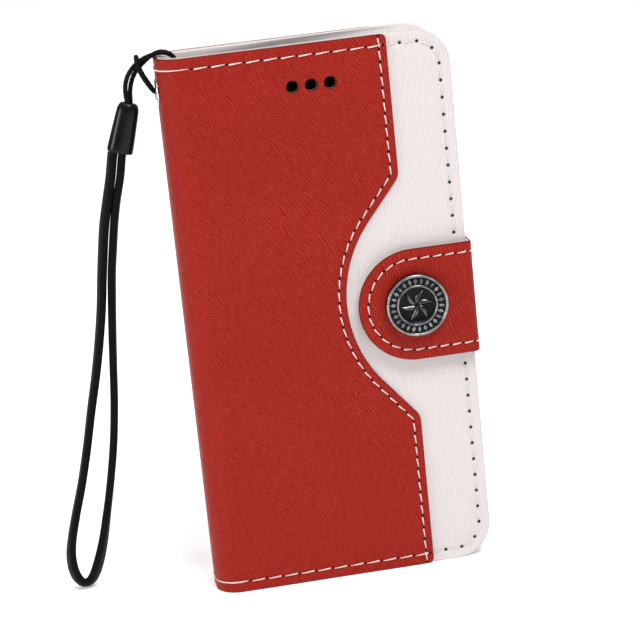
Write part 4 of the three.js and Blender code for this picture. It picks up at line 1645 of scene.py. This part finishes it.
@dataclass
class Eyelet:
    """The nickel eyelet in the spine and the washer that it is set on inside."""

    radius: float = 3.4
    barrel: float = 2.05
    bore: float = 1.6
    flange: float = 0.55
    washer_radius: float = 2.6

    BODY = "spine"

    def build(self) -> None:
        """Makes and dresses the eyelet and its washer."""
        inside = to_case(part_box("lanyard_eyelet")[1])[0]
        centre = np.array([0.0, CASE.thickness / 2, EYELET_HEIGHT])
        top = self.flange + 0.05
        profile = [
            (self.radius, 0.05), (self.radius, 0.18), (self.radius - 0.12, 0.36),
            (self.radius - 0.45, top - 0.06), (self.radius - 0.85, top), (self.bore + 0.55, top - 0.03),
            (self.bore + 0.2, top - 0.16), (self.bore + 0.03, top - 0.4), (self.bore, 0.0),
            (self.bore, -inside + 0.15), (self.bore + 0.1, -inside), (self.barrel, -inside),
            (self.barrel, 0.05),
        ]
        ring = smoothed(turned("eyelet_ring", profile, 64, ring=True), 50)
        washer_left, washer_right = (to_case(p)[0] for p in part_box("eyelet_washer"))
        washer = turned("eyelet_washer_ring", [
            (self.washer_radius, -washer_right + 0.06), (self.washer_radius - 0.06, -washer_right),
            (self.barrel + 0.12, -washer_right), (self.barrel + 0.06, -washer_right + 0.06),
            (self.barrel + 0.06, -washer_left), (self.washer_radius, -washer_left),
        ], 48, ring=True)
        smoothed(washer, 40)
        for piece, node in ((ring, "lanyard_eyelet"), (washer, "eyelet_washer")):
            set_at(piece, centre, TO_LEFT)
            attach(piece, self.BODY)
            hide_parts(node)
            dress(piece, NICKEL)


# ---- The case's own assemblies ----


def blended(
    piece: bpy.types.Object,
) -> None:
    """Bakes a piece's transform into its mesh.

    Args:
        piece: The piece, with no parent.
    """
    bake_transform(piece)


def slot_window(low: tuple[float, float], high: tuple[float, float], radius: float) -> Line:
    """Draws an upright window with round ends, clockwise, from its lowest and highest corner on a cover."""
    left, right = CASE.along(low[0]) + radius, CASE.along(high[0]) - radius
    return join_lines(
        arc_line((left, high[1] - radius), radius, 180, 90),
        arc_line((right, high[1] - radius), radius, 90, 0),
        arc_line((right, low[1] + radius), radius, 0, -90),
        arc_line((left, low[1] + radius), radius, -90, -180),
    )


@dataclass
class Covers:
    """The red wrap, the white leather and the lining of both covers, each in two halves, and their seams."""

    earpiece_radius: float = 1.55
    earpiece_places: tuple[float, ...] = (33.6, 38.5, 43.4)
    earpiece_height: float = 133.3
    camera_low: tuple[float, float] = (61.0, 120.5)
    camera_high: tuple[float, float] = (70.0, 137.5)
    camera_radius: float = 4.4
    lining_rise: float = 3.6
    lining_thickness: float = 0.6

    def build(self) -> None:
        """Makes and dresses every piece of both covers, and joins the wave stitches to their cover's body."""
        for side in Side:
            pieces = [self._red(side), self._white(side), self._lining(side)]
            pieces += self._perimeter_stitches(side)
            for piece in pieces:
                self._fold(piece, side)
            wave = self._wave_stitches(side)
            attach(wave, f"{side.value}_cover")

    def _fold(self, piece: bpy.types.Object, side: Side) -> None:
        """Bakes a piece's transform into its mesh, the same for either cover."""
        if side is Side.FRONT:
            blended(piece)
        else:
            blended(piece)

    def _windows(self, side: Side, wider: float = 0.0) -> list[Line]:
        """Returns the windows of a cover: three for the earpiece in front, one for the camera behind.

        Args:
            side: The cover.
            wider: How much wider the windows of a hidden layer are than those of the outer leather.

        Returns:
            The windows, drawn clockwise.
        """
        if side is Side.BACK:
            return [slot_window(self.camera_low, self.camera_high, self.camera_radius)]
        radius = self.earpiece_radius + wider
        return [
            arc_line((CASE.along(x), self.earpiece_height), radius, 360, 15, 0.35)
            for x in self.earpiece_places
        ]

    def _sheet(
        self, name: str, side: Side, nodes: Sequence[str], finish: Finish, slot: str, **cut: object,
    ) -> bpy.types.Object:
        """Makes and dresses one half of a wrap.

        Args:
            name: The piece's name.
            side: The cover that it lies on.
            nodes: The CAD nodes that it stands for.
            finish: Its finish.
            slot: Not used.
            **cut: The sheet's outline, faces, seams and windows.

        Returns:
            The new object.
        """
        piece = Sheet(name=name, way=Wrap(side), open_at=0.0, **cut).build()
        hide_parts(*nodes)
        dress(piece, finish)
        return piece

    def _nodes(self, side: Side, layer: str) -> list[str]:
        """Returns the nodes that a half of a layer stands for; the front half has the spine's too."""
        own = [f"{side.value}_{layer}"]
        return own + [f"spine_{layer}"] if side is Side.FRONT else own

    def _red(self, side: Side) -> bpy.types.Object:
        """Makes half the red wrap."""
        windows = self._windows(side) if side is Side.FRONT else []
        return self._sheet(
            f"{side.value}_red_wrap", side, self._nodes(side, "red_leather"), RED_LEATHER, "red_leather",
            outline=red_outline(), outer=level(RED_DEPTHS.outer), inner=level(RED_DEPTHS.inner),
            seams=[perimeter_seam(), self._wave_seam()], windows=windows,
        )

    def _white(self, side: Side) -> bpy.types.Object:
        """Makes half the white leather."""
        return self._sheet(
            f"{side.value}_white_wrap", side, self._nodes(side, "white_leather"), WHITE_LEATHER,
            "white_leather", outline=cover_outline(), outer=level(WHITE_DEPTHS.outer),
            inner=level(WHITE_DEPTHS.inner),
            seams=[perimeter_seam()], windows=self._windows(side, 0.35), needle_radius=0.5,
        )

    def _lining(self, side: Side) -> bpy.types.Object:
        """Makes half the lining, which closes up to the leather at its edges."""
        outline = cover_outline()
        edge = join_lines((0, 0), outline[outline[:, 0] > 1e-6], (0, CASE.height))

        def outer(s: np.ndarray, z: np.ndarray) -> np.ndarray:
            """Returns the depth of the lining's hidden face."""
            away = distance_to(np.stack([s, z], axis=1), edge[:-1], edge[1:])
            rise = eased(np.clip(away / self.lining_rise, 0, 1))
            shallow = WHITE_DEPTHS.inner + SHEET_GAP
            return shallow + (LINING_DEPTHS.outer - shallow) * rise + sag(s, z)

        return self._sheet(
            f"{side.value}_lining_wrap", side, self._nodes(side, "lining"), LINING_LEATHER, "lining",
            outline=outline, outer=outer, inner=lambda s, z: outer(s, z) + self.lining_thickness,
            seams=[perimeter_seam()], windows=self._windows(side, 0.35), seen=Face.INNER,
        )

    def _lining_face(self, s: np.ndarray, z: np.ndarray) -> np.ndarray:
        """Returns the depth of the lining's seen face under the perimeter seam."""
        rise = eased(min(1.0, PERIMETER_INSET / self.lining_rise))
        shallow = WHITE_DEPTHS.inner + SHEET_GAP
        depth = shallow + (LINING_DEPTHS.outer - shallow) * rise + self.lining_thickness
        return depth + sag(s, z)

    @staticmethod
    def _wave_seam() -> Seam:
        """Returns the fine seam beside the red leather's wavy edge."""
        return even_seam(WAVE.line(WAVE_SEAM_INSET), FINE_PITCH, 0.5)

    @staticmethod
    def _covered(points: np.ndarray) -> np.ndarray:
        """Returns how far points are inside the red leather, negative outside."""
        edge = WAVE.line()
        away = distance_to(points, edge[:-1], edge[1:])
        return np.where(is_inside(points, red_outline()) | (points[:, 0] < 30), away, -away)

    def _outer_face(self, s: np.ndarray, z: np.ndarray) -> np.ndarray:
        """Returns the depth of the outermost leather, which steps down at the red leather's edge."""
        inside = self._covered(np.stack([s, z], axis=1))
        share = np.clip(0.5 - inside / 0.8, 0, 1)
        return RED_DEPTHS.outer + (WHITE_DEPTHS.outer - RED_DEPTHS.outer) * share + sag(s, z)

    def _perimeter_stitches(self, side: Side) -> list[bpy.types.Object]:
        """Makes the perimeter seam's stitches on the red, on the white and on the lining."""
        seam = perimeter_seam()
        on_red, on_white = seam.parted(lambda point: bool(self._covered(point[None])[0] > 0.2))
        rows = []
        for parts, leather, finish in ((on_red, "red", PALE_THREAD), (on_white, "white", WHITE_THREAD)):
            thread = Thread() if leather == "red" else Thread(thin=0.13, thick=0.17, dip=0.24, gap=0.62)
            name = f"{side.value}_{leather}_edge_stitches"
            row = thread.row(name, [(part, Wrap(side), self._outer_face) for part in parts])
            dress(row, finish)
            rows.append(row)
        lining = (seam, Wrap(side), self._lining_face)
        inner = Thread().row(f"{side.value}_lining_stitches", [lining], Face.INNER)
        dress(inner, WHITE_THREAD)
        return rows + [inner]

    def _wave_stitches(self, side: Side) -> bpy.types.Object:
        """Makes the fine stitches beside the wavy edge."""
        row = Thread().row(f"{side.value}_wave_stitches", [(self._wave_seam(), Wrap(side), level(0.0))])
        dress(row, PALE_THREAD)
        return row


@dataclass
class ClaspStrap:
    """The red clasp strap: leather outside and lining inside, sewn round its edge, and its root."""

    low: float = to_case(STRAP_LOW)[2]
    high: float = to_case(STRAP_HIGH)[2]
    leather: float = 0.95
    lining: float = 0.95
    side_leather: float = 0.5
    side_lining: float = 0.4
    thins_from: float = 29.0
    thins_to: float = 31.5
    root_reach: float = 62.0
    seam_inset: float = 2.5
    seam_high: float = 2.6
    seam_low: float = 2.9

    @property
    def way(self) -> StrapWay:
        """The strap's way from its round end to its root."""
        return StrapWay(end=to_case(STRAP_LOW)[0], front=to_case(STRAP_LOW)[1], side=76.05, back=15.25)

    def build(self) -> None:
        """Makes and dresses the strap's pieces and bakes their transforms."""
        tab = self._tab()
        lining = self._lining()
        stitches = self._tab_stitches()
        for piece in (tab, lining, stitches):
            blended(piece)
        root = self._root()
        root_stitches = self._root_stitches()
        for piece in (root, root_stitches):
            blended(piece)

    def _share(self, s: np.ndarray) -> np.ndarray:
        """Returns how much of the tab's full thickness the strap has at s."""
        share = np.clip((s - self.thins_from) / (self.thins_to - self.thins_from), 0, 1)
        return 1 - eased(share)

    def _leather_depth(self, s: np.ndarray, z: np.ndarray) -> np.ndarray:
        """Returns the depth of the leather's inner face."""
        return self.side_leather + (self.leather - self.side_leather) * self._share(s)

    def _lining_outer(self, s: np.ndarray, z: np.ndarray) -> np.ndarray:
        """Returns the depth of the lining's face against the leather."""
        return self._leather_depth(s, z) + SHEET_GAP

    def _lining_inner(self, s: np.ndarray, z: np.ndarray) -> np.ndarray:
        """Returns the depth of the lining's face towards the cover."""
        thick = self.side_lining + (self.lining - self.side_lining) * self._share(s)
        return self._lining_outer(s, z) + thick

    def _round_end(self, reach: float, inset: float = 0.0) -> Line:
        """Returns the outline of the strap from its round end up to reach, drawn in by inset."""
        radius = (self.high - self.low) / 2
        centre = (radius, (self.high + self.low) / 2)
        end = arc_line(centre, radius - inset, 90, 270)
        return join_lines((reach, self.low + inset), (reach, self.high - inset), end)

    def _seam(self) -> Seam:
        """Returns the tab's seam, which runs on over the side at both ends."""
        low, high = self.low + self.seam_low, self.high - self.seam_high
        radius = (high - low) / 2
        centre = (self.seam_inset + radius, (low + high) / 2)
        reach = self.way.parting
        line = join_lines((reach, low), arc_line(centre, radius, 270, 90), (reach, high))
        length = float(line_lengths(line)[-1])
        count = round(length / FINE_PITCH)
        return Seam(line, np.linspace(0, length, count + 1), open_ends=True)

    def _root_seams(self) -> list[Seam]:
        """Returns the two seams that run on over the side and in under the back leather."""
        reach, way = self.way.parting, self.way
        heights = (self.low + self.seam_low, self.high - self.seam_high)
        lines = [((reach, z), (way.lengths[3] + 1, z)) for z in heights]
        return [
            Seam(np.array(line), np.linspace(0, line[1][0] - line[0][0], 4), open_ends=True) for line in lines
        ]

    def _tab(self) -> bpy.types.Object:
        """Makes the leather from the round end to halfway over the open side."""
        parting = self.way.parting
        piece = Sheet(
            name="strap_tab_cover", outline=self._round_end(parting), way=self.way,
            outer=self._crown, inner=self._leather_depth, seams=[self._seam()], open_at=parting, roll=0.42,
        ).build()
        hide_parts("strap_tab_leather", "strap_side_leather")
        dress(piece, STRAP_LEATHER)
        return piece

    def _crown(self, s: np.ndarray, z: np.ndarray) -> np.ndarray:
        """Returns the depth of the outer face, which lies a little lower outside the seam."""
        outline = self._round_end(self.root_reach)
        away = distance_to(np.stack([s, z], axis=1), outline[1:-1], outline[2:])
        away = np.minimum(away, abs(z - self.low))
        share = np.clip(away / self.seam_inset, 0, 1)
        return 0.16 * (1 - eased(share)) * self._share(s) + 0 * s

    def _lining(self) -> bpy.types.Object:
        """Makes the lining of the tab and of the side."""
        piece = Sheet(
            name="strap_lining_cover", outline=self._round_end(46.6, 0.1), way=self.way,
            outer=self._lining_outer, inner=self._lining_inner, seams=[self._seam()], seen=Face.INNER,
        ).build()
        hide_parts("strap_tab_lining", "strap_side_lining")
        dress(piece, LINING_LEATHER)
        return piece

    def _tab_stitches(self) -> bpy.types.Object:
        """Makes the tab's stitches."""
        row = Thread().row("strap_tab_stitches", [(self._seam(), self.way, level_flat(0.02))])
        dress(row, PALE_THREAD)
        return row

    def _root(self) -> bpy.types.Object:
        """Makes the leather from halfway over the open side to its end inside the back cover."""
        parting = self.way.parting
        outline = join_lines(
            (parting, self.low), (self.root_reach, self.low), (self.root_reach, self.high),
            (parting, self.high),
        )
        piece = Sheet(
            name="strap_root_cover", outline=outline, way=self.way, outer=level_flat(0.0),
            inner=level_flat(self.side_leather), seams=self._root_seams(), open_at=parting, roll=0.3,
        ).build()
        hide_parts("strap_tongue")
        dress(piece, STRAP_LEATHER)
        return piece

    def _root_stitches(self) -> bpy.types.Object:
        """Makes the stitches over the strap's side."""
        rows = [(seam, self.way, level_flat(0.02)) for seam in self._root_seams()]
        row = Thread().row("strap_side_stitches", rows)
        dress(row, PALE_THREAD)
        return row


def level_flat(depth: float) -> DepthRule:
    """Returns the rule of a face at one depth, without the covers' sag."""
    return lambda s, z: depth + 0 * s


@dataclass
class Pockets:
    """The cash pocket and the three card slots inside the front cover, sewn round three sides."""

    nodes: tuple[str, ...] = ("cash_pocket", "card_slot_1", "card_slot_2", "card_slot_3")
    corner: float = 2.5
    inset: float = 1.8
    pitch: float = 3.3

    BODY = "front_cover"

    def build(self) -> None:
        """Makes and dresses the four pockets and their stitches."""
        faces = []
        for node in self.nodes:
            low, high = (to_case(place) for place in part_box(node))
            faces.append((low, high))
            piece = self._pocket(f"{node}_leather", low, high)
            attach(piece, self.BODY)
            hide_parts(node)
            dress(piece, LINING_LEATHER)
        for name, sheets in (("cash_pocket", faces[:1]), ("card_slots", faces[1:])):
            row = self._stitches(f"{name}_stitches", sheets)
            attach(row, self.BODY)
            dress(row, WHITE_THREAD)

    def _pocket(self, name: str, low: np.ndarray, high: np.ndarray) -> bpy.types.Object:
        """Makes one pocket between two corners, with a creased mouth and windows for the earpiece."""
        x0, x1, z0, z1 = low[0], high[0], low[2], high[2]
        r = self.corner
        outline = join_lines(
            arc_line((x0 + r, z0 + r), r, 180, 270), arc_line((x1 - r, z0 + r), r, 270, 360),
            arc_line((x1 - r, z1 - r), r, 0, 90), arc_line((x0 + r, z1 - r), r, 90, 180),
        )
        mouth = Seam(np.array([(x0 + 1.3, z0 + 3.0), (x0 + 1.3, z1 - 3.0)]), np.array([0.0]), True)
        covers = Covers()
        reach = z1 > covers.earpiece_height
        windows = [
            arc_line((x, covers.earpiece_height), covers.earpiece_radius + 0.35, 360, 15, 0.35)
            for x in covers.earpiece_places if reach
        ]
        return Sheet(
            name=name, outline=outline, way=Plane(high[1]), outer=self._lifted, roll=0.2,
            inner=lambda s, z: self._lifted(s, z) + (high[1] - low[1]), groove=0.12, seams=[mouth],
            windows=windows,
        ).build()

    @staticmethod
    def _lifted(s: np.ndarray, z: np.ndarray) -> np.ndarray:
        """Returns the covers' sag, as a depth towards the front."""
        return -sag(CASE.along(s), z)

    def _stitches(self, name: str, sheets: list[tuple[np.ndarray, np.ndarray]]) -> bpy.types.Object:
        """Makes the stitches round three sides of some pockets that lie on each other."""
        low, high = sheets[0]
        z0, z1, x1 = low[2] + self.inset, high[2] - self.inset, high[0] - self.inset
        line = join_lines((low[0] + 2, z0), (x1, z0), (x1, z1), (low[0] + 2, z1))
        top = Plane(sheets[0][1][1])

        def face(s: np.ndarray, z: np.ndarray) -> np.ndarray:
            """Returns the depth of the topmost pocket at s."""
            depth = self._lifted(s, z)
            for under, over in zip(sheets, sheets[1:]):
                depth = depth - (over[1][1] - under[1][1]) * (s > over[0][0])
            return depth

        return Thread().row(name, [(even_seam(line, self.pitch, 0.5), top, face)])


@dataclass(frozen=True)
class Hardware:
    """The finishes of the CAD nodes that stay as they are."""

    finishes: tuple[tuple[str, Finish], ...] = (
        ("phone_shell", TRAY_PLASTIC), ("shell_adhesive_pad", FOAM_PAD), ("front_board", GREY_BOARD),
        ("back_board", GREY_BOARD), ("spine_stiffener", GREY_BOARD), ("strap_tab_core", GREY_BOARD),
        ("cover_magnet", NICKEL), ("strap_magnet", NICKEL), ("button_rivet", NICKEL),
    )

    def build(self) -> None:
        """Gives each kept node its finish."""
        for node, finish in self.finishes:
            put_on(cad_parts[node], finish)
            LOG.info("dressed %s", node)


# ---- Camera and studio ----


@dataclass(frozen=True)
class Camera:
    """The camera's lens and its place, as angles and a distance from a point on the front cover."""

    lens: float = 133.19
    sensor: float = 36.0
    azimuth: float = 8.088
    elevation: float = 15.069
    roll: float = -5.899
    distance: float = 0.616694
    target: tuple[float, float, float] = (34.577, 0.0, 72.886)

    def build(self) -> None:
        """Makes the camera and gives it to the scene."""
        data = bpy.data.cameras.new("camera")
        data.lens = self.lens
        data.sensor_width = self.sensor
        data.clip_start = 0.01
        camera = bpy.data.objects.new("camera", data)
        bpy.context.scene.collection.objects.link(camera)
        azimuth, elevation, roll = (math.radians(a) for a in (self.azimuth, self.elevation, self.roll))
        level_part = math.cos(elevation)
        back = Vector((-math.sin(azimuth) * level_part, -math.cos(azimuth) * level_part, math.sin(elevation)))
        right = (-back).cross(Vector((0, 0, 1))).normalized()
        up = right.cross(-back).normalized()
        axes = Matrix((
            right * math.cos(roll) + up * math.sin(roll), up * math.cos(roll) - right * math.sin(roll), back,
        ))
        place = axes.transposed().to_4x4()
        place.translation = Vector(to_frame(np.array(self.target))) + back * self.distance
        camera.matrix_world = place
        bpy.context.scene.camera = camera


@dataclass(frozen=True)
class Softbox:
    """A soft square light: where it is, what it looks at, its size, power and colour."""

    name: str
    place: tuple[float, float, float]
    target: tuple[float, float, float]
    size: float
    power: float
    colour: Colour = (1.0, 1.0, 1.0)

    def build(self) -> None:
        """Makes the light."""
        data = bpy.data.lights.new(self.name, "AREA")
        data.shape = "SQUARE"
        data.size = self.size
        data.energy = self.power
        data.color = self.colour
        light = bpy.data.objects.new(self.name, data)
        bpy.context.scene.collection.objects.link(light)
        aim = Vector(self.target) - Vector(self.place)
        light.matrix_world = aim.to_track_quat("-Z", "Y").to_matrix().to_4x4()
        light.location = self.place


@dataclass(frozen=True)
class Studio:
    """The pale floor, the even surroundings and the soft lights."""

    floor_size: float = 6.0
    surround: Colour = (1.0, 0.985, 0.99)
    surround_strength: float = 0.34
    lights: tuple[Softbox, ...] = (
        Softbox("top_softbox", (0.0, -0.2, 2.5), (0.0, -0.2, 0.0), 3.0, 44.0),
        Softbox("key_softbox", (0.35, -0.8, 1.4), (0.0, 0.0, 0.07), 0.6, 17.5),
        Softbox("left_softbox", (-0.9, -0.25, 0.35), (-0.03, 0.0, 0.07), 0.3, 3.5),
    )

    def build(self) -> None:
        """Makes the floor, the surroundings and the lights."""
        scene = bpy.context.scene
        scene.view_settings.view_transform = "Standard"
        scene.view_settings.look = "None"
        self._floor()
        world = bpy.data.worlds.new("surroundings")
        scene.world = world
        world.use_nodes = True
        background = world.node_tree.nodes["Background"]
        background.inputs["Color"].default_value = (*self.surround, 1)
        background.inputs["Strength"].default_value = self.surround_strength
        for light in self.lights:
            light.build()

    def _floor(self) -> None:
        """Makes the plain floor."""
        start_clean()
        bpy.ops.mesh.primitive_plane_add(size=self.floor_size, location=(0, 0, 0))
        floor = bpy.context.object
        floor.name = "floor"
        sh = Shader("pale_floor")
        matt = sh.node("ShaderNodeBsdfDiffuse", None, {"Color": (0.86, 0.855, 0.86)})
        glow = sh.node("ShaderNodeEmission", None, {"Color": (1.0, 0.97, 0.98), "Strength": 0.3})
        sh.node_output(sh.node("ShaderNodeAddShader", None, {0: matt, 1: glow}))
        floor.data.materials.append(sh.material)


def main() -> None:
    """Builds the scene: the camera and the cords, then the case, its hardware and the studio."""
    logging.basicConfig(level=logging.INFO, format="%(message)s")
    Camera().build()
    WristStrap().build()
    Eyelet().build()
    Covers().build()
    ClaspStrap().build()
    ClaspButton().build()
    Pockets().build()
    Hardware().build()
    Studio().build()


if __name__ == "__main__":
    main()
